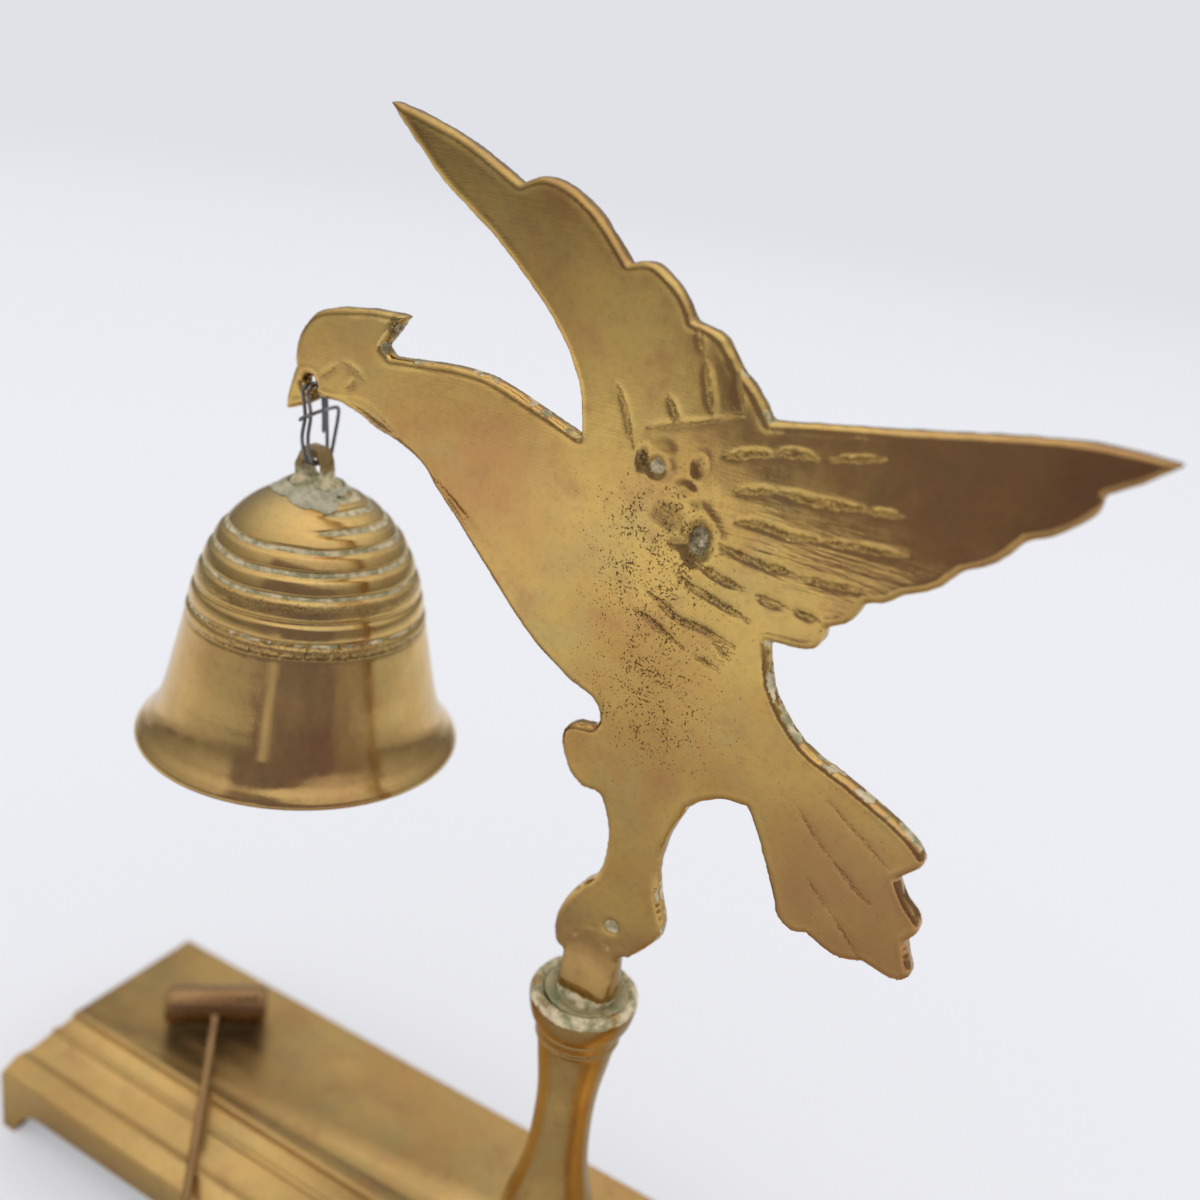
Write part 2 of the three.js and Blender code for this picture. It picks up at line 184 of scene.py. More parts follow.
def paint(piece, **layers):
    """Stores each layer, a value for every vertex or one for them all, for the materials to read."""
    for name, values in layers.items():
        layer = piece.data.attributes.new(name, "FLOAT", "POINT")
        layer.data.foreach_set("value", np.full(len(piece.data.vertices), values, np.float32))


def turned(profile, segments):
    """Vertices and faces of a closed [radius, z] profile turned about the Z axis.

    A point on the axis becomes one vertex. The profile starts and ends on the axis, or closes on itself.
    Returns the vertices, the faces, and each vertex's place along the profile and angle.
    """
    on_axis = profile[0][0] < 1e-6
    angles = np.arange(segments) * 2 * math.pi / segments
    verts, rows, place, turn = [], [], [], []
    for i, (radius, z) in enumerate(profile):
        if radius < 1e-6:
            rows.append([len(verts)] * segments)
            verts.append((0, 0, z))
            place.append(i)
            turn.append(0.0)
        else:
            rows.append(list(range(len(verts), len(verts) + segments)))
            verts += [(radius * math.cos(a), radius * math.sin(a), z) for a in angles]
            place += [i] * segments
            turn += list(angles)
    pairs = list(zip(rows, rows[1:])) + ([] if on_axis else [(rows[-1], rows[0])])
    faces = []
    for low, high in pairs:
        for k in range(segments):
            n = (k + 1) % segments
            face = list(dict.fromkeys((low[k], low[n], high[n], high[k])))
            if len(face) > 2:
                faces.append(face)
    return np.array(verts, float), faces, np.array(place), np.array(turn)


def tube(path, radius, sides):
    """A closed round tube along a path of points, with rounded ends."""
    ends = [(-0.9, 0.35), (-0.5, 0.8)]  # each end ring's place beyond the path and radius, in radii
    tangents = np.gradient(path, axis=0)
    tangents /= np.linalg.norm(tangents, axis=1)[:, None]
    normal = np.cross(tangents[0], (0.3, 0.2, 1.0))
    normal /= np.linalg.norm(normal)
    rings = []
    for p, t in zip(path, tangents):
        normal = normal - t * (normal @ t)
        normal /= np.linalg.norm(normal)
        rings.append((p, t, normal.copy(), 1.0))
    p, t, n, _ = rings[0]
    rings = [(p + t * s * radius, t, n, k) for s, k in ends] + rings
    p, t, n, _ = rings[-1]
    rings += [(p - t * s * radius, t, n, k) for s, k in reversed(ends)]
    verts = []
    for p, t, n, k in rings:
        side = np.cross(t, n)
        for a in np.arange(sides) * 2 * math.pi / sides:
            verts.append(p + radius * k * (n * math.cos(a) + side * math.sin(a)))
    faces = []
    for r in range(len(rings) - 1):
        for k in range(sides):
            n = (k + 1) % sides
            faces.append([r * sides + k, r * sides + n, (r + 1) * sides + n, (r + 1) * sides + k])
    first, last = len(verts), len(verts) + 1
    verts.append(rings[0][0] - rings[0][1] * 0.1 * radius)
    verts.append(rings[-1][0] + rings[-1][1] * 0.1 * radius)
    top = (len(rings) - 1) * sides
    for k in range(sides):
        n = (k + 1) % sides
        faces.append([first, n, k])
        faces.append([last, top + k, top + n])
    return np.array(verts), faces


# ---- materials ----
class Shader:
    """The nodes of a new material or world.

    add, surface, glow and blend return the node they add, finish returns the material or world, and the
    other methods return a node's output.
    """

    def __init__(self, name, kind="Material"):
        owners = {"Material": bpy.data.materials, "World": bpy.data.worlds}
        self.owner = owners[kind].new(name)
        self.owner.use_nodes = True
        self.tree = self.owner.node_tree
        self.tree.nodes.clear()
        self.output = self.add("ShaderNodeOutput" + kind)
        self.coordinates = self.add("ShaderNodeTexCoord").outputs

    def add(self, kind, inputs=None, **settings):
        """An input is a value or another node's output."""
        made = self.tree.nodes.new(kind)
        for key, value in settings.items():
            setattr(made, key, value)
        for key, value in (inputs or {}).items():
            if isinstance(value, bpy.types.NodeSocket):
                self.tree.links.new(value, made.inputs[key])
            else:
                made.inputs[key].default_value = value
        return made

    def noise(self, scale, detail=3.0, rough=0.55, stretch=(1, 1, 1), shift=(0, 0, 0), warp=0.0):
        mapping = {"Vector": self.coordinates["Object"], "Scale": stretch, "Location": shift}
        moved = self.add("ShaderNodeMapping", mapping).outputs[0]
        inputs = {"Vector": moved, "Scale": scale, "Detail": detail, "Roughness": rough, "Distortion": warp}
        return self.add("ShaderNodeTexNoise", inputs).outputs["Fac"]

    def attribute(self, name):
        return self.add("ShaderNodeAttribute", attribute_name=name).outputs["Fac"]

    def calc(self, operation, a, b=0.0):
        return self.add("ShaderNodeMath", {0: a, 1: b}, operation=operation).outputs[0]

    def plus(self, a, b):
        return self.calc("ADD", a, b)

    def times(self, a, b):
        return self.calc("MULTIPLY", a, b)

    def window(self, value, low, high, to_low=0.0, to_high=1.0):
        inputs = {"Value": value, "From Min": low, "From Max": high, "To Min": to_low, "To Max": to_high}
        return self.add("ShaderNodeMapRange", inputs, interpolation_type="SMOOTHSTEP").outputs[0]

    def mix(self, share, a, b):
        return self.add("ShaderNodeMix", {0: share, 6: a, 7: b}, data_type="RGBA").outputs[2]

    def bump(self, height, distance, normal=None):
        inputs = {"Height": height, "Distance": distance}
        if normal is not None:
            inputs["Normal"] = normal
        return self.add("ShaderNodeBump", inputs).outputs[0]

    def finish(self, shown):
        """Shows a node's result and returns the material or world."""
        self.tree.links.new(shown.outputs[0], self.output.inputs[0])
        return self.owner

    def surface(self, **inputs):
        return self.add("ShaderNodeBsdfPrincipled", {k.replace("_", " "): v for k, v in inputs.items()})

    def glow(self, colour):
        return self.add("ShaderNodeEmission", {"Color": colour, "Strength": 1.0})

    def blend(self, share, first, second):
        return self.add("ShaderNodeMixShader", {0: share, 1: first.outputs[0], 2: second.outputs[0]})


def rgb(r, g, b):
    return (r, g, b, 1.0)


BRIGHT = rgb(0.69, 0.475, 0.155)
DEEP = rgb(0.54, 0.33, 0.11)
COPPER = rgb(0.50, 0.265, 0.125)
BROWN = rgb(0.20, 0.115, 0.05)
OLIVE = rgb(0.50, 0.41, 0.175)
VERDIGRIS = rgb(0.255, 0.24, 0.12)
PALE_CRUST = rgb(0.68, 0.565, 0.365)
# Near black: soot, dirt in pores, and the painted shade under the mallet's barrel.
SOOT_AND_SHADE = rgb(0.075, 0.045, 0.022)


# How noise is stretched: not at all, upwards on turned pieces, and along x on the base.
EVEN = (1, 1, 1)
TURNED = (1, 1, 0.2)
DRAWN = (0.2, 1, 1)


def brass_colour(s, bright, deep, shift):
    """Yellow brass with olive, coppery and brown clouds."""
    cloudy = s.noise(120, 4, 0.6, shift=shift)
    colour = s.mix(s.window(s.noise(26, 3, 0.5, shift=shift), 0.38, 0.62), bright, deep)
    olive = s.window(s.noise(58, 4, 0.7, shift=(0.3, shift[0], 0.1)), 0.46, 0.68, 0, 0.5)
    colour = s.mix(olive, colour, OLIVE)
    colour = s.mix(s.window(cloudy, 0.5, 0.74, 0, 0.5), colour, COPPER)
    mottle = s.window(s.noise(900, 3, 0.6, shift=shift), 0.45, 0.75, 0, 0.16)
    colour = s.mix(mottle, colour, BROWN)
    copper = s.times(s.attribute("copper"), s.window(cloudy, 0.2, 0.6, 0.55, 1.0))
    colour = s.mix(copper, colour, COPPER)
    # Brown tarnish, also used as painted shade under the mallet's barrel.
    tarnish = s.times(s.attribute("tarnish"), s.window(cloudy, 0.25, 0.6, 0.6, 1.0))
    return s.mix(tarnish, colour, BROWN)


def brass_holes(s, pitting, shift, grit, off):
    """Where the metal is dark with pores, with dirt and with what is left in the feather lines."""
    patches = s.window(s.noise(330, 3, 0.7), 0.4, 0.62, 0.35, 1.0)
    porous = s.plus(s.times(s.times(s.attribute("porous"), patches), 0.19), pitting * 0.13)
    pores = s.window(s.plus(s.noise(2300, 2.5, 0.6, shift=shift), porous), 0.74, 0.80)
    filth = s.window(s.plus(s.attribute("dirt"), s.times(grit, 0.9)), 0.92, 1.12)
    kept = s.times(s.attribute("line_near"), s.window(s.noise(520, 2, 0.6), 0.4, 0.54))
    cut = s.times(s.window(off, 0.42, 0.1), kept)
    specks = s.window(s.noise(2600, 2, 0.6, shift=shift), 0.44, 0.56, 0.25, 1.0)
    return s.calc("MAXIMUM", s.calc("MAXIMUM", pores, filth), s.times(cut, specks))


def brass_height(s, shift, holes, grit, off, crusted):
    """Relief too fine for the mesh."""
    scratches = s.noise(1800, 2, 0.5, stretch=(0.05, 1, 1.6), shift=shift, warp=0.3)
    height = s.plus(s.times(s.noise(3500, 2, 0.6, shift=shift), 0.07), s.times(scratches, 0.04))
    dirt = s.times(s.attribute("dirt"), grit)
    furrow = s.times(s.window(off, 0.85, 0.15), s.attribute("line_near"))
    creases = s.times(s.noise(1300, 2, 0.6, stretch=(0.12, 1, 1), shift=shift), s.attribute("creased"))
    for layer, strength in ((holes, -1.0), (dirt, 1.5), (crusted, 1.2), (furrow, -1.3), (creases, 0.9)):
        height = s.plus(height, s.times(layer, strength))
    return height


def aged_brass(name, bright=BRIGHT, deep=DEEP, rough=0.24, pitting=0.3, seed=0.0, grain=EVEN, dents=0.06):
    """Old polished cast brass, varied by what paint() stores on the meshes.

    crust is verdigris, tarnish is brown tarnish and also painted shade under the mallet's barrel, copper is
    reddish, porous brings pits, dirt fills them, and soot is black soot and also that painted shade.
    line_off is the distance from the nearest feather line in line widths, line_near says where those lines
    show, and creased brings fine wrinkles.
    """
    s = Shader(name)
    shift = (seed, seed * 1.7, seed * 0.6)
    grit = s.noise(2000, 3, 0.75, shift=shift)
    ragged_edge = s.window(s.noise(1100, 3, 0.75, shift=shift), 0.3, 0.7, -0.42, 0.42)
    off = s.calc("ABSOLUTE", s.plus(s.attribute("line_off"), ragged_edge))
    holes = brass_holes(s, pitting, shift, grit, off)
    colour = s.mix(s.times(holes, 0.8), brass_colour(s, bright, deep, shift), SOOT_AND_SHADE)

    ragged = s.noise(700, 4, 0.7, shift=shift)
    crust = s.plus(s.times(s.attribute("crust"), 1.5), s.times(ragged, 0.9))
    crust = s.window(crust, 0.85, 1.15)
    crust_colour = s.mix(s.window(s.noise(500, 3, 0.6), 0.35, 0.65), VERDIGRIS, PALE_CRUST)
    colour = s.mix(crust, colour, crust_colour)
    gravel = s.window(s.noise(1700, 3, 0.7, shift=shift), 0.35, 0.6, 0.35, 1.0)
    # Black soot in hollows, also used as painted shade under the mallet's barrel.
    colour = s.mix(s.times(s.attribute("soot"), gravel), colour, SOOT_AND_SHADE)

    smear = s.noise(240, 3, 0.6, stretch=grain, shift=shift)
    roughness = s.window(smear, 0.25, 0.75, rough - 0.07, rough + 0.09)
    roughness = s.plus(s.plus(roughness, s.times(holes, 0.3)), s.times(crust, 0.55))
    height = brass_height(s, shift, holes, grit, off, s.times(crust, ragged))
    normal = s.bump(s.noise(160, 2, 0.5, shift=shift), dents * MM, s.bump(height, 0.00012))
    metal = s.window(crust, 0.2, 0.9, 1.0, 0.0)
    return s.finish(s.surface(Base_Color=colour, Metallic=metal, Roughness=roughness, Normal=normal))


def crusted_solder(name, dull, pale):
    """Dull solder under verdigris."""
    s = Shader(name)
    lumps = s.noise(450, 4, 0.65)
    colour = s.mix(s.window(lumps, 0.35, 0.65), dull, pale)
    colour = s.mix(s.window(s.noise(220, 3, 0.6), 0.5, 0.7, 0, 0.75), colour, rgb(0.27, 0.32, 0.17))
    colour = s.mix(s.window(s.noise(1500, 2, 0.6), 0.6, 0.75, 0, 0.7), colour, rgb(0.12, 0.1, 0.06))
    rough = s.window(lumps, 0.3, 0.7, 0.5, 0.85)
    normal = s.bump(lumps, 0.0006)
    return s.finish(s.surface(Base_Color=colour, Metallic=0.35, Roughness=rough, Normal=normal))


def steel(name, tint, rough, scale):
    """Grey steel with upright streaks and a few brown spots."""
    s = Shader(name)
    streak = s.noise(scale, 3, 0.6, stretch=(1, 1, 0.15))
    spots = s.window(s.noise(scale * 0.7, 3, 0.7, shift=(0.3, 0.1, 0)), 0.6, 0.72, 0, 0.7)
    colour = s.mix(s.window(streak, 0.3, 0.7), rgb(*tint), rgb(*(c * 0.6 for c in tint)))
    colour = s.mix(spots, colour, rgb(0.16, 0.09, 0.05))
    streaky = s.window(streak, 0.3, 0.7, rough - 0.08, rough + 0.1)
    roughness = s.plus(streaky, s.times(spots, 0.3))
    normal = s.bump(streak, 0.00006)
    return s.finish(s.surface(Base_Color=colour, Metallic=1.0, Roughness=roughness, Normal=normal))


BIRD_BRASS = aged_brass("bird_brass", rough=0.11, pitting=0.3, seed=0.0, dents=0.035)
BELL_LIGHT, BELL_DEEP = rgb(0.69, 0.505, 0.19), rgb(0.55, 0.375, 0.14)
BELL_BRASS = aged_brass("bell_brass", BELL_LIGHT, BELL_DEEP, 0.16, 0.1, 0.4, TURNED, 0.05)
COLUMN_LIGHT, COLUMN_DEEP = rgb(0.72, 0.51, 0.185), rgb(0.56, 0.36, 0.125)
COLUMN_BRASS = aged_brass("column_brass", COLUMN_LIGHT, COLUMN_DEEP, 0.2, 0.1, 0.9, TURNED)
BASE_BRASS = aged_brass("base_brass", rgb(0.72, 0.49, 0.185), rgb(0.6, 0.385, 0.145), 0.4, 0.1, 1.3, DRAWN)
MALLET_BRASS = aged_brass("mallet_brass", rgb(0.55, 0.37, 0.17), rgb(0.4, 0.25, 0.12), 0.28, 0.15, 2.1)
LUG_BRASS = aged_brass("lug_brass", rgb(0.5, 0.37, 0.16), rgb(0.4, 0.28, 0.12), 0.4, 0.5, 2.6)
CROWN_SOLDER = crusted_solder("crown_solder_skin", rgb(0.38, 0.36, 0.24), rgb(0.62, 0.57, 0.42))
SOCKET_SOLDER = crusted_solder("socket_solder_skin", rgb(0.34, 0.28, 0.13), rgb(0.52, 0.45, 0.27))
WIRE_STEEL = steel("wire_steel", (0.30, 0.30, 0.32), 0.36, 900)
SCREW_STEEL = steel("screw_steel", (0.45, 0.46, 0.48), 0.34, 400)


# ---- bird ----
FLAT_FOOT = 95.5  # below this the casting turns into the round stem
PLATE_HALF = 1.8  # half the flat plate's thickness
BIRD_VOXEL = 0.46

# Cut feather lines: strength, then points in (x, z).
FEATHER_LINES = [
    (0.9, [(8.5, 183.4), (11.8, 184.6), (15.1, 185.3)]),
    (1.1, [(15.5, 185.5), (18.2, 186.3), (21.2, 186.3)]),
    (0.7, [(23.7, 186.8), (27.1, 187.7), (30.4, 188.6)]),
    (0.7, [(11.2, 178.9), (16.1, 180.2)]),
    (1.1, [(17.3, 180.4), (20.7, 180.4), (24.4, 180.6), (29.3, 181.2)]),
    (0.6, [(30.4, 181.1), (34.5, 181.7)]),
    (1.0, [(12.1, 174.5), (15.3, 175.0), (19.3, 174.6), (23.7, 175.2)]),
    (0.8, [(25.5, 175.3), (30.2, 175.7), (36.2, 176.5)]),
    (0.9, [(10.1, 170.4), (13.2, 169.7), (16.5, 169.4), (20.4, 169.4), (22.8, 169.1)]),
    (0.7, [(23.1, 169.1), (27.3, 169.4), (31.9, 170.1)]),
    (0.9, [(7.0, 166.5), (10.9, 165.4), (14.8, 164.9)]),
    (0.8, [(4.6, 163.3), (8.6, 162.3), (13.4, 161.2), (16.4, 160.3)]),
    (0.9, [(17.3, 164.6), (19.2, 164.1), (21.5, 164.2)]),
    (0.7, [(23.1, 164.2), (26.6, 163.8)]),
    (0.9, [(0, 159.5), (3.0, 158.2), (5.8, 157.0), (9.7, 156.8), (14.9, 155.7)]),
    (0.7, [(-1.8, 156.2), (2.8, 154.6), (6.9, 152.7)]),
    (0.6, [(9.8, 151.9), (13.0, 151.3)]),
    (0.6, [(12.5, 154.7), (14.6, 153.5)]),
    (0.5, [(-10.5, 189.3), (-8.9, 186.5), (-6.7, 181.3)]),
    (0.6, [(-2.0, 189.6), (0.1, 186.2)]),
    (0.4, [(-4.5, 184.5), (2.6, 186.9), (9.2, 189.3)]),
    (0.5, [(0.7, 199.8), (1.9, 197.0)]),
    (0.6, [(2.7, 195.4), (4.9, 189.0)]),
    (0.5, [(7.9, 194.8), (9.4, 190.3)]),
    (0.2, [(34.2, 137.2), (37.9, 134.7), (45.2, 130.0)]),
    (0.22, [(30.0, 134.0), (33.4, 130.7), (37.4, 127.5)]),
    (0.42, [(37.4, 127.5), (41.8, 124.3), (43.7, 123.3)]),
    (0.2, [(33.9, 123.1), (39.1, 118.6)]),
    (0.3, [(39.1, 118.6), (41.9, 116.0), (44.5, 113.6)]),
    (0.4, [(-61.5, 181.7), (-59.9, 181.0), (-57.8, 179.9)]),
    (0.4, [(-60.6, 177.9), (-59.5, 178.7), (-59.2, 179.8)]),
    (0.3, [(-66.2, 178.5), (-63.6, 180.7)]),
]

# Casting hollows in (x, z): radius across, radius up, depth, and how much crust and dirt lie in them.
HOLLOWS = [
    ((-2.3, 179.1), 1.5, 1.5, 0.5, 0.5, 0.45),
    ((-4.6, 179.7), 0.9, 1.9, 0.3, 0.0, 0.6),
    ((4.4, 180.7), 0.9, 1.6, 0.22, 0.0, 0.3),
    ((2.8, 177.1), 1.5, 1.0, -0.12, 0.0, 0.1),
    ((-1.6, 182.0), 1.7, 1.3, -0.08, 0.0, 0.0),
    ((6.3, 169.7), 2.2, 3.2, 0.75, 0.42, 0.62),
    ((3.2, 168.6), 1.6, 0.8, 0.25, 0.0, 0.35),
    ((1.0, 172.6), 3.0, 2.0, 0.12, 0.0, 0.3),
    ((3.5, 99.5), 1.7, 1.5, 0.3, 0.5, 0.3),
    ((0.4, 97.4), 1.0, 0.9, 0.15, 0.0, 0.25),
    ((-52.4, 189.3), 1.2, 2.6, 0.15, 0.1, 0.55),
    ((-53.8, 185.6), 1.0, 1.4, 0.15, 0.1, 0.5),
]

# Where verdigris sits on the rim, in (x, z, reach).
RIM_CRUST = [
    (-51.5, 188.5, 3.5), (-53.5, 185.5, 2.5), (-46.0, 185.2, 3.0), (-34.0, 185.8, 4.0), (-24.0, 183.0, 4.0),
    (-17.0, 181.0, 3.0), (22.0, 151.5, 4.0), (26.0, 146.5, 4.5), (33.0, 142.2, 4.5), (40.5, 139.0, 4.5),
    (47.0, 135.8, 3.5), (48.6, 129.6, 3.0), (49.5, 120.5, 2.5), (19.5, 158.5, 2.5), (-5.0, 136.6, 2.0),
    (11.5, 108.0, 4.5), (12.0, 101.0, 4.0), (12.6, 127.5, 3.5), (21.5, 131.0, 2.5), (-4.5, 122.8, 3.0),
    (-19.5, 190.5, 3.0), (-27.0, 199.5, 3.0), (-38.0, 208.5, 2.5), (9.0, 195.6, 3.0), (12.6, 190.8, 3.0),
]


def cad_copy(node, name):
    """A welded copy of a CAD node's mesh as a new object, in the same place."""
    piece = placed(name, frame["nodes"][node].data.copy())
    face_out(piece.data, WELD)
    return piece


def remesh(piece, voxel_mm, rounds):
    """Rebuilds a piece from small even faces and relaxes them."""
    shell = piece.modifiers.new("remesh", "REMESH")
    shell.mode = "VOXEL"
    shell.voxel_size = voxel_mm * MM
    relax = piece.modifiers.new("relax", "SMOOTH")
    relax.factor, relax.iterations = 0.5, rounds
    evaluated = piece.evaluated_get(bpy.context.evaluated_depsgraph_get())
    mesh = bpy.data.meshes.new_from_object(evaluated)
    piece.modifiers.clear()
    piece.data = mesh


def read_points(mesh):
    flat = np.zeros(len(mesh.vertices) * 3)
    mesh.vertices.foreach_get("co", flat)
    return flat.reshape(-1, 3) / MM


def write_points(mesh, points):
    mesh.vertices.foreach_set("co", (points * MM).astype(np.float32).ravel())
    mesh.update()


def rim_tree(mesh):
    """A tree of points along the flat plate's outline, in (x, z) about the column's axis."""
    shape = bmesh.new()
    shape.from_mesh(mesh)
    marks = []
    for edge in shape.edges:
        if len(edge.link_faces) != 2:
            continue
        facing = [face.normal.y for face in edge.link_faces]
        if min(facing) > -0.9 or max(facing) < -0.5:
            continue
        a, b = (np.array(v.co) / MM for v in edge.verts)
        if abs(a[1] - AXIS[1]) < PLATE_HALF - 0.1 or min(a[2], b[2]) < FLAT_FOOT - 2.5:
            continue
        steps = max(2, int(np.linalg.norm(b - a) / 0.25))
        marks += [a + (b - a) * t for t in np.linspace(0, 1, steps)]
    shape.free()
    tree = KDTree(len(marks))
    for i, m in enumerate(marks):
        tree.insert((m[0] - AXIS[0], 0, m[2]), i)
    tree.balance()
    return tree


def line_relief(x, z):
    """Depth of the feather lines, the signed distance from the nearest one, and where it counts."""
    depth, near = np.zeros(len(x)), np.zeros(len(x))
    closest, off = np.full(len(x), 99.0), np.full(len(x), 9.0)
    for strength, points in FEATHER_LINES:
        points = curve(points, 4 * len(points))
        last = len(points) - 2
        for i, (a, b) in enumerate(zip(points, points[1:])):
            run = b - a
            length = np.linalg.norm(run)
            t = ((x - a[0]) * run[0] + (z - a[1]) * run[1]) / length**2
            side = ((x - a[0]) * -run[1] + (z - a[1]) * run[0]) / length
            beyond = np.abs(t - np.clip(t, 0, 1)) * length
            distance = np.hypot(side, beyond)
            share = (i + np.clip(t, 0, 1)) / (last + 1)
            taper = np.clip(share * 5, 0.25, 1) * np.clip((1 - share) * 3.5, 0.25, 1)
            closer = distance < closest
            closest = np.where(closer, distance, closest)
            off = np.where(closer, np.clip(side / (0.32 + 0.42 * strength * taper), -3, 3), off)
            fades = np.minimum(1.5 * strength * (0.3 + 0.7 * taper), 1)
            fades = fades * (1 - smooth_step(distance, 0.8, 1.4)) * (1 - smooth_step(beyond, 0.1, 0.6))
            near = np.maximum(near, fades)
            depth = np.maximum(depth, 0.2 * strength * taper * hump(distance, 0, 0.55))
    return depth, off, near


def hollow_relief(x, z, grain):
    """Depth of the casting hollows, and how much crust and dirt lie in them."""
    depth, crust, dirt = np.zeros(len(x)), np.zeros(len(x)), np.zeros(len(x))
    for (cx, cz), across, up, deep, coated, dirty in HOLLOWS:
        reach = np.hypot((x - cx) / across, (z - cz) / up) * (1 + 0.18 * grain)
        inside = 1 - smooth_step(reach, 0.55, 1.25)
        lip = hump(reach, 1.45, 0.35)
        depth += deep * inside * (1 + 0.3 * grain) - 0.12 * deep * lip
        crust = np.maximum(crust, coated * (1 - smooth_step(reach, 0.6, 1.15)))
        dirt = np.maximum(dirt, dirty * (1 - smooth_step(reach, 0.6, 1.25)))
    return depth, crust, dirt


def plate_depth(x, z, rim, cuts):
    """How far the flat faces sink: rounded off at the rim, thinned along the throat, dished and cut."""
    plane = np.stack([x, z], 1)
    inner = smooth_step(rim, 0.4, 1.6)
    dish = 0.14 * value_noise(plane, 38, 7) + 0.02 * value_noise(plane, 11, 8)
    below = z < 182 - 0.62 * (x + 66)
    throat = smooth_step(x, -67, -63) * smooth_step(x, -26, -40) * below * (z > 145)
    beside = 0.6 + 3.4 * smooth_step(x, -66, -52)
    chamfer = 0.8 * throat * np.clip(1 - rim / beside, 0, 1)
    round_off = 1.25 + 0.25 * value_noise(plane, 7, 9)
    pull = round_off - np.sqrt(np.clip(round_off**2 - np.clip(round_off - rim, 0, None) ** 2, 0, None))
    return pull + (cuts + dish * 0.6 + chamfer + 0.12) * inner


def press_stem(x, y, z):
    """The stem above the socket pressed flat and a little wider, with a raised corner on one side."""
    proud = np.clip(np.abs(y) - PLATE_HALF, 0, None)
    above = smooth_step(z, SOCKET_TOP - 1.5, SOCKET_TOP + 1.0)
    pressed = 1.7 * (1 - np.exp(-proud / 0.9)) * (1 - smooth_step(z, SOCKET_TOP + 0.5, 95))
    y = np.sign(y) * (np.minimum(np.abs(y), PLATE_HALF) + proud * (1 - above) + pressed * above)
    stub = above * (1 - smooth_step(z, 91, 96)) * (1 - smooth_step(np.abs(x), 5.3, 8))
    x = x * (1 + 0.1 * stub)
    corner = hump(x, 6.6, 2.2) * hump(z, 93.4, 2.2)
    return x + 0.9 * corner, y, z + 1.7 * corner


def age_bird(piece, p, shape, rim, flat, lines, hollows):
    """Where the casting is crusted, dirty, porous, brown and reddish."""
    x, z = shape
    _, off, near = lines
    _, coated, filled = hollows
    marks = np.zeros(len(x))
    for cx, cz, reach in RIM_CRUST:
        close = 1 - smooth_step(np.hypot(x - cx, z - cz), reach * 0.5, reach)
        marks = np.maximum(marks, close * (1 - smooth_step(rim, 0.25, 0.7)))
    marks *= smooth_step(value_noise(p, 1.2, 19), -0.45, 0.25)
    collar = (1 - smooth_step(z, SOCKET_TOP + 0.4, SOCKET_TOP + 2.2)) * 0.5
    inset = PLATE_HALF - np.abs(p[:, 1] - AXIS[1])
    wall = (1 - smooth_step(rim, 0.15, 0.5)) * flat * smooth_step(inset, 0.2, 0.8)
    plane = np.stack([p[:, 0] - AXIS[0], p[:, 2]], 1)
    crease = hump(rim, 0.9, 0.5) * smooth_step(value_noise(plane, 3.0, 17), -0.1, 0.6)
    rim_dirt = 0.36 * marks + 0.34 * crease + 0.15 * wall

    belly = hump(x, 3, 13) * hump(z, 141, 12)
    middle = hump(x, 0, 11) * hump(z, 166, 13)
    breast = hump(x, -30, 12) * hump(z, 168, 12)
    head = hump(x, -64, 9) * hump(z, 183, 7)
    fold = hump(x, 8.5, 4.0) * hump(z, 194, 9)
    raised = smooth_step(z, 193, 214) * (x < 10)
    far_wing = smooth_step(x, 14, 48) * (z > 160)
    tip = smooth_step(x, 40, 62) * (z > 176)
    tail = smooth_step(x, 22, 34) * smooth_step(z, 140, 128)
    foot = 1 - smooth_step(z, 94, 108)
    brownish = 0.4 * raised + 0.4 * fold + 0.12 * tail + 0.3 * tip
    brownish += 0.45 * wall + 0.3 * foot + 0.15 * far_wing
    reddish = 0.4 * far_wing + 0.6 * tail + 0.65 * breast + 0.45 * foot + 0.3 * head
    paint(
        piece,
        crust=np.maximum.reduce([marks * 0.55, coated, collar]),
        line_off=off,
        line_near=near * flat,
        creased=hump(x, 25, 12) * hump(z, 172, 6),
        dirt=np.maximum(filled, rim_dirt) * flat,
        porous=np.clip(belly + 1.3 * middle, 0, 1),
        tarnish=np.clip(brownish, 0, 1),
        copper=np.clip(reddish, 0, 1),
        soot=np.clip(filled * 1.1, 0, 1) * flat,
    )


def bird_casting():
    """The bird, worked over on a remeshed copy of the CAD plate and stem."""
    piece = cad_copy("bird", "bird_casting")
    tree = rim_tree(piece.data)
    remesh(piece, BIRD_VOXEL, 2)
    p = read_points(piece.data)
    x, y, z = p[:, 0] - AXIS[0], p[:, 1] - AXIS[1], p[:, 2]
    rim = np.array([tree.find((a, 0, b))[2] for a, b in zip(x, z)])
    flat = smooth_step(z, FLAT_FOOT - 2.5, FLAT_FOOT + 1.5) * (np.abs(y) < PLATE_HALF + 0.3)

    plane = np.stack([x, z], 1)
    grain = value_noise(plane, 1.1, 3) * 0.6 + value_noise(plane, 0.55, 4) * 0.4
    lines = line_relief(x, z)
    hollows = hollow_relief(x, z, grain)
    depth = plate_depth(x, z, rim, lines[0] + hollows[0])
    y = y * (1 - flat * np.clip(depth, -0.1, 1.3) / PLATE_HALF)
    x, y, z = press_stem(x, y, z)

    edge = (1 - smooth_step(rim, 0.1, 1.5)) * flat
    x = x + edge * (value_noise(p, 2.3, 11) * 0.13 + value_noise(p, 0.9, 12) * 0.07)
    z = z + edge * value_noise(p, 2.0, 13) * 0.1
    foot_wave = (1 - flat) * (z > SOCKET_FOOT) * 0.1 * value_noise(p, 2.5, 15)
    x, y = x + foot_wave, y + foot_wave
    write_points(piece.data, np.stack([x + AXIS[0], y + AXIS[1], z], 1))
    age_bird(piece, p, (x, z), rim, flat, lines, hollows)
    dress(piece, BIRD_BRASS, "stand", "bird")


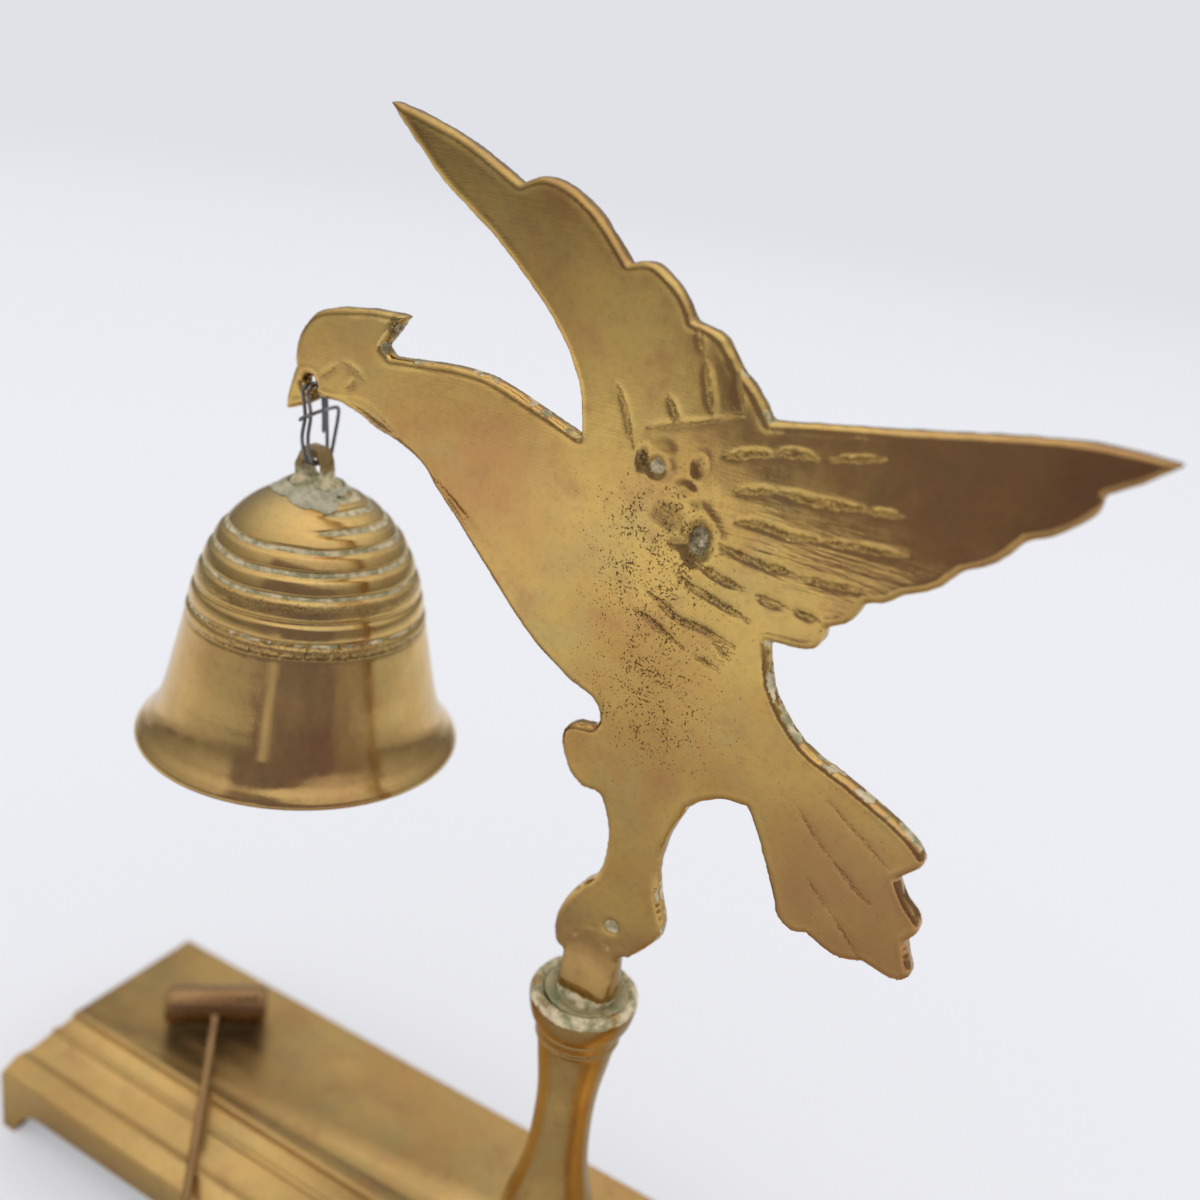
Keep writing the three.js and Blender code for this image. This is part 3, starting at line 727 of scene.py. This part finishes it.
# ---- bell ----
# Ring grooves on the dome: height above the table, half width, depth, and how far round they run.
RINGS = [
    (157.3, 0.55, 0.45, 0.3), (155.9, 0.6, 0.5, 0.15), (153.6, 0.7, 0.5, 0.0),
    (150.9, 0.65, 0.5, -2.0), (147.6, 0.75, 0.55, -2.0), (144.0, 0.6, 0.4, -2.0),
    (140.1, 0.6, 0.22, -2.0), (136.5, 0.6, 0.22, -2.0),
]
SHOULDER = 134.2
KEPT_SIDE = math.radians(29)  # the upper rings are only left on this side of the dome
CROWN_HOLE = 1.7  # radius of the hole in the dome, under the crown eye


def bell_wall():
    """The outside and inside of the wall, from the rim up, in [radius, z]."""
    rim = BELL_RIM
    outside = curve(
        [[28.9, rim], [29.6, rim + 0.4], [29.7, rim + 1.1], [29.0, rim + 2.1], [27.5, rim + 3.9],
         [25.8, rim + 6.8], [24.6, rim + 10.8], [23.4, rim + 16.1], [22.3, rim + 21.1], [21.4, 134.8],
         [20.1, 140.3], [18.4, 144.9], [16.4, 149], [13.8, 152.8], [10, 156], [5.6, 157.9],
         [CROWN_HOLE, BELL_CROWN]],
        250,
    )
    inside = curve(
        [[CROWN_HOLE, BELL_CROWN - 2.2], [5.2, 155.6], [9, 153.9], [12, 151.2], [14.3, 147.8], [16.3, 143.8],
         [18, 139.4], [19.3, 134], [20.3, rim + 20.7], [21.3, rim + 15.7], [22.5, rim + 10.4],
         [23.8, rim + 6.2], [25.5, rim + 3.1], [27, rim + 1.3], [28.1, rim + 0.1]],
        60,
    )
    return outside, inside


def bell():
    """The thin turned bell with its worn ring grooves; the bands between them swell a little."""
    outside, inside = bell_wall()
    outside[:, 0] *= BELL_RADIUS / outside[:, 0].max()
    profile = np.vstack([outside, inside])
    verts, faces, place, turn = turned(profile, 200)
    outer = place < len(outside)
    radius, z = np.hypot(verts[:, 0], verts[:, 1]), verts[:, 2]
    around = np.cos(turn - KEPT_SIDE)
    ring_points = np.stack([np.cos(turn) * 20, np.sin(turn) * 20, z], 1)
    wave = value_noise(ring_points, 9, 21)
    fine = value_noise(ring_points, 1.2, 22)
    right = 0.45 + 0.55 * smooth_step(np.cos(turn + math.radians(25)), -0.2, 0.7)
    belts = hump(z, 142.6, 1.3) + 0.9 * hump(z, 135.2, 1.5)
    porous = np.clip(belts * right, 0, 1)
    groove, fill = np.zeros(len(z)), np.zeros(len(z))
    for height, half, deep, start in RINGS:
        kept = smooth_step(around, start - 0.05, start + 0.6)
        centre = height + 0.25 * wave
        reach = np.abs(z - centre) / (half * (0.35 + 0.65 * kept))
        inside_ring = (1 - smooth_step(reach, 0.55, 1.15)) * kept
        groove += deep * inside_ring
        strength = 1.0 if height > 143 else 0.4
        fill = np.maximum(fill, strength * (1 - smooth_step(reach, 0.3, 0.8)) * kept)
    step = 0.2 * smooth_step(z, SHOULDER - 0.9, SHOULDER + 0.4) * smooth_step(z, 146, 136)
    ledges = [ring[0] for ring in RINGS if ring[0] < 152] + [SHOULDER]
    swell = np.zeros(len(z))
    for upper, lower in zip(ledges, ledges[1:]):
        part = np.clip((z - lower) / (upper - lower), 0, 1)
        swell = np.maximum(swell, 0.42 * np.sqrt(np.clip(4 * part * (1 - part), 0, 1)))
    pits = np.clip(-value_noise(ring_points, 0.8, 23) - 0.25, 0, 1) * porous
    radius = radius + np.where(outer, swell - groove - step + 0.05 * fine * fill - 0.25 * pits, 0)
    radius = np.maximum(radius, CROWN_HOLE)
    verts[:, 0], verts[:, 1] = radius * np.cos(turn), radius * np.sin(turn)
    verts[:, 0] += BELL_AXIS[0]
    verts[:, 1] += BELL_AXIS[1]
    piece = new_piece("bell_body", verts, faces, BELL_BRASS, "bell", "bell")
    dirty_ring = hump(z, SHOULDER, 0.5) + hump(z, 136.5, 0.5)
    paint(
        piece,
        crust=np.where(outer, fill * 0.62 + 0.3 * dirty_ring * (fine > 0), 0.12),
        dirt=np.where(outer, 0.5 * porous + 0.3 * dirty_ring, 0.2),
        porous=np.where(outer, porous, 0.3),
        tarnish=np.where(outer, 0.15 * porous, 0.65),
        copper=np.where(outer, 0.22 * smooth_step(z, 146, 128), 0.4),
    )


def crown_lug():
    """The cast eye on the crown, a rounded lump with a hole from front to back."""
    piece = cad_copy("crown_lug", "crown_eye")
    remesh(piece, 0.25, 3)
    p = read_points(piece.data)
    out = np.sign(p - centre_of("crown_lug"))
    above = smooth_step(p[:, 2], BELL_CROWN, BELL_CROWN + 1.2)
    swell = 0.14 * value_noise(p, 1.6, 31) + 0.08 * value_noise(p, 0.8, 32)
    p[:, 0] += above * swell * out[:, 0]
    p[:, 1] += above * swell * out[:, 1]
    dx, dz = p[:, 0] - BELL_AXIS[0], p[:, 2] - (CROWN[2] - 0.6)
    from_hole = np.maximum(np.hypot(dx, dz), 0.1)
    widen = 0.45 * hump(from_hole, 1.6, 0.7) / from_hole
    p[:, 0] += dx * widen
    p[:, 2] += dz * widen
    write_points(piece.data, p)
    foot = 1 - smooth_step(p[:, 2], BELL_CROWN + 1.0, BELL_CROWN + 4.0)
    crust = np.clip(0.35 + 0.5 * foot + 0.25 * value_noise(p, 2, 33), 0, 1) * 0.8
    paint(piece, crust=crust, tarnish=0.2, porous=0.5)
    dress(piece, LUG_BRASS, "bell", "crown_lug")


def patch_reach(angle):
    """How far the solder runs from the eye at an angle: furthest in front, least on the right."""
    turns = [-180, -135, -104, -60, -35, -23, -10, 29, 90, 150, 180]
    reach = [7.4, 7.8, 6.9, 8.8, 9.6, 8.6, 5.9, 5.6, 6.4, 7.0, 7.4]
    degrees = math.degrees(math.atan2(math.sin(angle), math.cos(angle)))
    return float(np.interp(degrees, turns, reach))


def crown_solder():
    """Solder and verdigris round the eye, spread further over the crown on one side."""
    wall = bell_wall()[0][::-1]
    rows, segments, inner = 14, 96, 5.05
    spread = np.linspace(0, 1, rows)
    thick = 0.15 + 0.95 * (1 - spread**2.2)
    verts, faces = [], []
    for k in range(segments):
        a = k * 2 * math.pi / segments
        reach = patch_reach(a) + 0.25 * math.sin(9 * a) + 0.15 * math.sin(17 * a + 1)
        radius = inner + (reach - inner) * spread
        surface = np.interp(radius, wall[:, 0], wall[:, 1])
        x, y = radius * math.cos(a), radius * math.sin(a)
        verts += [*np.stack([x, y, surface + thick], 1), *np.stack([x, y, surface + 0.05], 1)[::-1]]
    ring = 2 * rows
    for k in range(segments):
        n = (k + 1) % segments
        for r in range(ring):
            m = (r + 1) % ring
            faces.append([k * ring + r, n * ring + r, n * ring + m, k * ring + m])
    verts = np.array(verts)
    lump = value_noise(verts, 1.5, 41) * 0.22 + value_noise(verts, 0.7, 42) * 0.12
    top = np.tile(np.arange(ring) < rows - 1, segments)
    verts[:, 2] += np.where(top, lump, 0)
    verts += [BELL_AXIS[0], BELL_AXIS[1], 0]
    new_piece("crown_solder_patch", verts, faces, CROWN_SOLDER, "bell", "crown_solder")


# ---- hanging wire ----
WIRE_RADIUS = 0.33
WIRE_PITCH = 0.9  # how far each turn moves along the beak
# The wire's two turns as (out from the beak's middle, down); negative is towards the front.
TURNS = [
    (2.9, 8.7), (2.9, 4.9), (2.6, 1.4), (1.9, 0.1), (0, 0), (-1.9, 0.1), (-2.6, 1.3), (-2.3, 4.4),
    (-2.5, 6.0), (-3.3, 8.7), (-3.0, 11.5), (-2.2, 13.3), (0, 13.5), (2.2, 13.4), (2.7, 11.7), (2.7, 8.7),
    (2.6, 4.9), (2.5, 1.4), (1.8, 0.1), (0, 0), (-1.8, 0.1), (-2.4, 1.4), (-2.0, 4.2), (-2.2, 6.0),
    (-2.9, 8.7), (-2.7, 11.6), (-2.0, 13.3), (0, 13.5), (2.1, 13.4), (2.8, 11.9), (3.7, 8.9), (4.5, 5.9),
]


def wire_path():
    """Nearly two turns through the beak and the crown eye, then a tie across the front."""
    drop = BEAK[2] - CROWN[2]
    points = []
    for step, (out, down) in enumerate(TURNS):
        x = BEAK[0] + (CROWN[0] - BEAK[0]) * down / drop + WIRE_PITCH * (step / 14 - 1.15)
        points.append((x, BEAK[1] + out, BEAK[2] - down))
    x = points[-1][0]
    tie = [  # (along the beak, out, down)
        (0.1, 4.3, 4.4), (0.1, 3.3, 4.0), (-0.1, 0, 4.3), (-0.5, -2.9, 4.9), (-1.2, -3.6, 5.4),
        (-1.7, -3.4, 5.8),
    ]
    points += [(x + dx, BEAK[1] + dy, BEAK[2] - dz) for dx, dy, dz in tie]
    return curve(points, 300)


def hanging_wire():
    verts, faces = tube(wire_path(), WIRE_RADIUS, 14)
    new_piece("wire_loop", verts, faces, WIRE_STEEL, "wire", "hanging_wire")


# ---- column ----
def column():
    """The hollow turned column, with a beaded neck and a ragged cup for the bird's stem."""
    foot, inner = COLUMN_FOOT, SOCKET_FOOT - 0.1
    shaft = curve(
        [[12.6, 20.8], [11, 22.6], [9.5, 27], [9, 31.5], [8.2, 35.8], [6.9, 40.5], [5.8, 47], [5.4, 55],
         [5.6, 62], [6.5, 69], [7.1, 73.4]],
        110,
    )
    beads = [[7.25, 73.9], [7.55, 74.1], [7.65, 74.4], [7.5, 74.7], [7.35, 74.85], [7.55, 75.3],
             [7.95, 76.6], [8.1, 76.95], [8.0, 77.15], [7.98, 77.3], [8.15, 77.45]]
    lip = curve(
        [[8.45, 77.7], [9.0, 79.0], [9.4, 80.6], [9.6, 82.2], [9.45, 83.4], [8.7, COLUMN_TOP], [7.9, 83.85],
         [7.35, 83.2], [7.1, inner]],
        40,
    )
    hidden = [[5.6, inner], [5.6, 72], [0, 72]]
    start = [[0, 32], [2.35, 32], [2.35, foot], [12.5, foot], [12.8, foot + 0.3], [12.8, 20.4]]
    profile = np.vstack([start, shaft, beads, lip, hidden])
    verts, faces, _, turn = turned(profile, 128)
    radius, z = np.hypot(verts[:, 0], verts[:, 1]), verts[:, 2]
    cup = smooth_step(z, 81.0, 83.2) * (radius > 5.5)
    wobble = 0.12 * value_noise(verts, 2.2, 51) + 0.07 * value_noise(verts, 1.0, 52)
    shell = radius > 5
    radius = np.where(shell, radius + cup * wobble, radius)
    verts[:, 0], verts[:, 1] = radius * np.cos(turn), radius * np.sin(turn)
    verts[:, 2] += np.where(shell, cup * wobble * 0.6, 0)
    patches = 0.5 + 0.5 * value_noise(verts, 4.0, 53)
    crust = np.clip(cup * (0.28 + 0.5 * patches), 0, 1)
    crease = hump(z, 77.3, 0.35) + hump(z, 74.9, 0.35)
    crust = np.maximum(crust, 0.45 * crease * patches * (radius > 6))
    right = smooth_step(np.cos(turn), 0.2, 0.9) * smooth_step(z, 66, 72) * smooth_step(z, 82, 78)
    crust = np.maximum(crust, 0.35 * right * patches)
    verts += [AXIS[0], AXIS[1], 0]
    piece = new_piece("turned_column", verts, faces, COLUMN_BRASS, "stand", "column")
    copper = 0.15 * smooth_step(z, 72, 66) * smooth_step(z, 30, 50)
    paint(piece, crust=crust, tarnish=0.25 * smooth_step(z, 60, 80), copper=copper)


def socket_solder():
    """The solder between the bird's stem and the cup."""
    low, high = SOCKET_FOOT, SOCKET_TOP
    profile = curve(
        [[5.25, low], [6.95, low], [7.35, low + 0.6], [7.5, high + 0.1], [6.9, high + 0.25],
         [6.0, high - 0.1], [5.3, high - 0.45], [4.2, high - 0.6], [2.6, high - 0.7],
         [2.4, high - 1.0], [5.0, high - 1.05]],
        44,
    )
    verts, faces, _, _ = turned(profile, 96)
    top = smooth_step(verts[:, 2], low + 0.2, high)
    verts[:, 2] += top * (0.18 * value_noise(verts, 1.4, 61) + 0.1 * value_noise(verts, 0.7, 62))
    verts += [STEM_AXIS[0], STEM_AXIS[1], 0]
    new_piece("socket_solder_ring", verts, faces, SOCKET_SOLDER, "stand", "socket_solder")


# ---- mallet ----
HEAD_RADIUS = 4.3
ROD_RADIUS = 0.95


def ends_of(node):
    """The two end points of a slender node, from its mesh."""
    p = read_points(frame["nodes"][node].data)
    middle = (p.min(0) + p.max(0)) / 2
    direction = np.linalg.svd(p - p.mean(0), full_matrices=False)[2][0]
    along = (p - middle) @ direction
    return middle + direction * along.min(), middle + direction * along.max()


def turned_between(profile, start, end, segments):
    """A turned body whose profile's z runs from start towards end."""
    verts, faces, _, _ = turned(np.asarray(profile, float), segments)
    turn = Vector(end - start).to_track_quat("Z", "Y").to_matrix()
    return verts @ np.array(turn).T + start, faces


def mallet_head(start, end):
    """The barrel, with rounded edges and slightly hollow faces."""
    r, length = HEAD_RADIUS, np.linalg.norm(end - start)
    face = [[0, 0.35], [1.6, 0.3], [2.3, 0.1], [2.6, 0.0]]
    edge = [[r - 1.3, 0], [r - 0.7, 0.12], [r - 0.3, 0.45], [r - 0.08, 0.9], [r, 1.5]]
    barrel = [[r - 0.04, length * 0.3], [r - 0.02, length * 0.5], [r - 0.04, length * 0.7]]
    profile = face + edge + barrel + [[x, length - z] for x, z in reversed(face + edge)]
    verts, faces = turned_between(profile, start, end, 96)
    head = new_piece("mallet_barrel", verts, faces, MALLET_BRASS, "mallet", "mallet_head")
    # Painted shade: the barrel's lower part is darkened to brown and near black through the tarnish and soot
    # layers, in place of the shade and dark reflection beneath it.
    below = 1 - smooth_step(verts[:, 2], BASE_TOP + 4.2, BASE_TOP + 7.2)
    paint(head, tarnish=0.58 + 0.42 * below, soot=0.8 * below, copper=0.3)


def mallet_rod(middle):
    """The slender handle, from a small collar on the head's middle to its rounded tip."""
    near, far = sorted(ends_of("mallet_rod"), key=lambda end: np.linalg.norm(end - middle))
    axis = (far - near) / np.linalg.norm(far - near)
    near = middle + axis * (HEAD_RADIUS - 0.6)
    w, reach = ROD_RADIUS, np.linalg.norm(far - near)
    collar = [[0, 0], [w + 0.3, 0], [w + 0.35, 0.6], [w + 0.2, 1.2], [w, 1.7]]
    shaft = [[w + 0.03 * math.sin(k * 1.7), 3 + k * (reach - 6) / 12] for k in range(13)]
    tip = [[w, reach - 1.2], [w - 0.1, reach - 0.5], [w - 0.45, reach - 0.1], [0, reach]]
    verts, faces = turned_between(collar + shaft + tip, near, far, 32)
    rod = new_piece("mallet_rod_round", verts, faces, MALLET_BRASS, "mallet", "mallet_rod")
    paint(rod, tarnish=0.5, copper=0.2)


def mallet():
    start, end = ends_of("mallet_head")
    mallet_head(start, end)
    mallet_rod((start + end) / 2)


# ---- CAD nodes that stay ----
def soften(node, width_mm, segments, material):
    """Rounds a CAD node's edges and gives it its material."""
    shown = frame["nodes"][node]
    weld = shown.modifiers.new("weld", "WELD")
    weld.merge_threshold = WELD
    rounding = shown.modifiers.new("rounded edges", "BEVEL")
    rounding.width = width_mm * MM
    rounding.segments = segments
    rounding.limit_method = "ANGLE"
    rounding.angle_limit = math.radians(38)
    rounding.harden_normals = True
    smooth_faces(shown)
    coat(shown, material)


def kept_nodes():
    soften("base", 0.45, 3, BASE_BRASS)
    soften("column_screw", 0.15, 2, SCREW_STEEL)
    soften("screw_washer", 0.15, 2, SCREW_STEEL)


# ---- stage ----
PALE = (0.83, 0.84, 0.885)
DISTANT = (0.745, 0.76, 0.807)

# How bright the table looks in reflections, by distance from the origin as a share of FLOOR_REACH.
FLOOR_REACH = 3.2
FLOOR_LEVELS = [(0.0, 0.46), (0.04, 0.5), (0.09, 0.74), (0.14, 0.9), (0.2, 0.92), (0.24, 0.76), (0.3, 0.52),
                (0.84, 0.45), (1.0, 0.34)]
# How bright the room looks in reflections, by height.
ROOM_LEVELS = [(0.0, 0.23), (0.12, 0.3), (0.33, 0.43), (0.5, 0.6), (0.7, 0.86), (0.84, 1.1), (1.0, 1.35)]


def fill_ramp(ramp, stops, warm_green, warm_blue):
    while len(ramp.elements) < len(stops):
        ramp.elements.new(0.5)
    for element, (at, level) in zip(ramp.elements, stops):
        element.position = at
        element.color = rgb(level, level * (1 - warm_green), level * (1 - warm_blue))


def stage_sheet(name, corners, material):
    """One flat face of the stage, in metres."""
    mesh = bpy.data.meshes.new(name)
    mesh.from_pydata(corners, [], [list(range(len(corners)))])
    sheet = placed(name, mesh)
    sheet.data.materials.append(material)
    return sheet


def floor():
    """A wide sheet of pale paper that fades into the distance and looks uneven in reflections."""
    half = 6.0
    corners = [(-half, -half, 0), (half, -half, 0), (half, half, 0), (-half, half, 0)]
    s = Shader("floor_paper")
    inputs = {0: s.coordinates["Object"]}
    length = s.add("ShaderNodeVectorMath", inputs, operation="LENGTH").outputs["Value"]
    path = s.add("ShaderNodeLightPath").outputs
    levels = s.add("ShaderNodeValToRGB", {"Fac": s.calc("DIVIDE", length, FLOOR_REACH)})
    fill_ramp(levels.color_ramp, FLOOR_LEVELS, 0.035, 0.07)
    colour = s.mix(path["Is Glossy Ray"], rgb(0.86, 0.865, 0.91), levels.outputs[0])
    normal = s.bump(s.noise(300, 3, 0.6), 0.00003)
    paper = s.surface(Base_Color=colour, Roughness=0.9, Normal=normal)
    # For camera rays the sheet partly glows: far off this is the even pale backdrop, and near the object the
    # glow is painted light that lifts the shade around the base.
    backdrop_glow = s.glow(s.mix(s.window(length, 0.5, 4.0), rgb(*PALE), rgb(*DISTANT)))
    fade = s.times(s.window(length, 0.3, 1.6, 0.35, 1.0), path["Is Camera Ray"])
    stage_sheet("floor", corners, s.finish(s.blend(fade, paper, backdrop_glow)))


def reflector(name, corners, colour):
    """A panel that shows only in reflections."""
    s = Shader(name)
    panel = stage_sheet(name, corners, s.finish(s.glow(rgb(*colour))))
    for ray in ("camera", "diffuse", "shadow", "transmission"):
        setattr(panel, "visible_" + ray, False)


def panels():
    """Three dark shapes and a pale strip that the brass reflects."""
    x, y = AXIS * MM
    outline = [(-0.105, 0.34), (-0.0987, 0.178), (-0.0928, 0.166), (-0.087, 0.144), (-0.075, 0.1227),
               (-0.07, 0.117), (-0.056, 0.112), (-0.032, 0.098), (-0.008, 0.0965), (0.46, 0.09),
               (0.46, 0.34)]
    reflector("dark_figure", [(x + a, y - 0.22, b) for a, b in outline], (0.235, 0.195, 0.235))
    edge = [(y - 0.35, 0.02), (y + 0.05, 0.02), (y + 0.05, 0.5), (y - 0.35, 0.5)]
    reflector("dark_side", [(x + 0.6, a, b) for a, b in edge], (0.32, 0.28, 0.27))
    middle, across = Vector((x + 0.223, y - 0.343, 0)), Vector((0.763, 0.643, 0)) * 0.21
    near, far = middle - across, middle + across
    upright = [(near.x, near.y, 0.03), (far.x, far.y, 0.03), (far.x, far.y, 0.4), (near.x, near.y, 0.4)]
    reflector("viewer", upright, (0.20, 0.145, 0.18))
    strip = [(-0.0385, 0.103), (-0.028, 0.103), (-0.028, 0.138), (-0.0385, 0.138)]
    reflector("pale_strip", [(x + a, y - 0.12, b) for a, b in strip], (0.78, 0.74, 0.68))


def room():
    """The light: even and white, but seen as a pale backdrop and reflected as a room dim low down."""
    s = Shader("soft_room", "World")
    height = s.add("ShaderNodeSeparateXYZ", {0: s.coordinates["Generated"]}).outputs["Z"]
    levels = s.add("ShaderNodeValToRGB", {"Fac": height})
    fill_ramp(levels.color_ramp, ROOM_LEVELS, 0.05, 0.08)
    reflected = s.add("ShaderNodeBackground", {"Color": levels.outputs[0]})
    ambient = s.add("ShaderNodeBackground", {"Color": rgb(1.0, 1.0, 1.0)})
    backdrop = s.add("ShaderNodeBackground", {"Color": rgb(*DISTANT)})
    path = s.add("ShaderNodeLightPath").outputs
    unseen = s.blend(path["Is Glossy Ray"], ambient, reflected)
    bpy.context.scene.world = s.finish(s.blend(path["Is Camera Ray"], unseen, backdrop))


LENS = 36.97  # focal length in millimetres, on a sensor 36 mm wide
PUPIL = 4.4  # width of the lens opening in millimetres
# The camera in metres from the column's axis, its right and up directions, and where it is focused.
EYE = (0.07068, -0.16399, 0.22522)
EYE_RIGHT = (0.8643, 0.4816, 0.1453)
EYE_UP = (-0.2949, 0.2511, 0.9219)
FOCUS = (-0.01, 0, 0.165)


def from_axis(place):
    x, y = AXIS * MM
    return x + place[0], y + place[1], place[2]


def camera():
    data = bpy.data.cameras.new("camera")
    data.sensor_width = 36
    data.lens = LENS
    data.clip_start = 0.01
    right, up = Vector(EYE_RIGHT), Vector(EYE_UP)
    turn = Matrix((right, up, right.cross(up))).transposed().to_4x4()
    eye = placed("camera", data)
    eye.matrix_world = Matrix.Translation(from_axis(EYE)) @ turn
    focus = placed("focus", None)
    focus.location = from_axis(FOCUS)
    data.dof.use_dof = True
    data.dof.focus_object = focus
    data.dof.aperture_fstop = LENS / PUPIL
    bpy.context.scene.camera = eye


def plain_colours():
    """Shows colours as they are, with no film look."""
    bpy.context.scene.view_settings.view_transform = "Standard"
    bpy.context.scene.view_settings.look = "None"


bird_casting()
bell()
crown_lug()
crown_solder()
hanging_wire()
column()
socket_solder()
mallet()
kept_nodes()
floor()
panels()
room()
camera()
plain_colours()
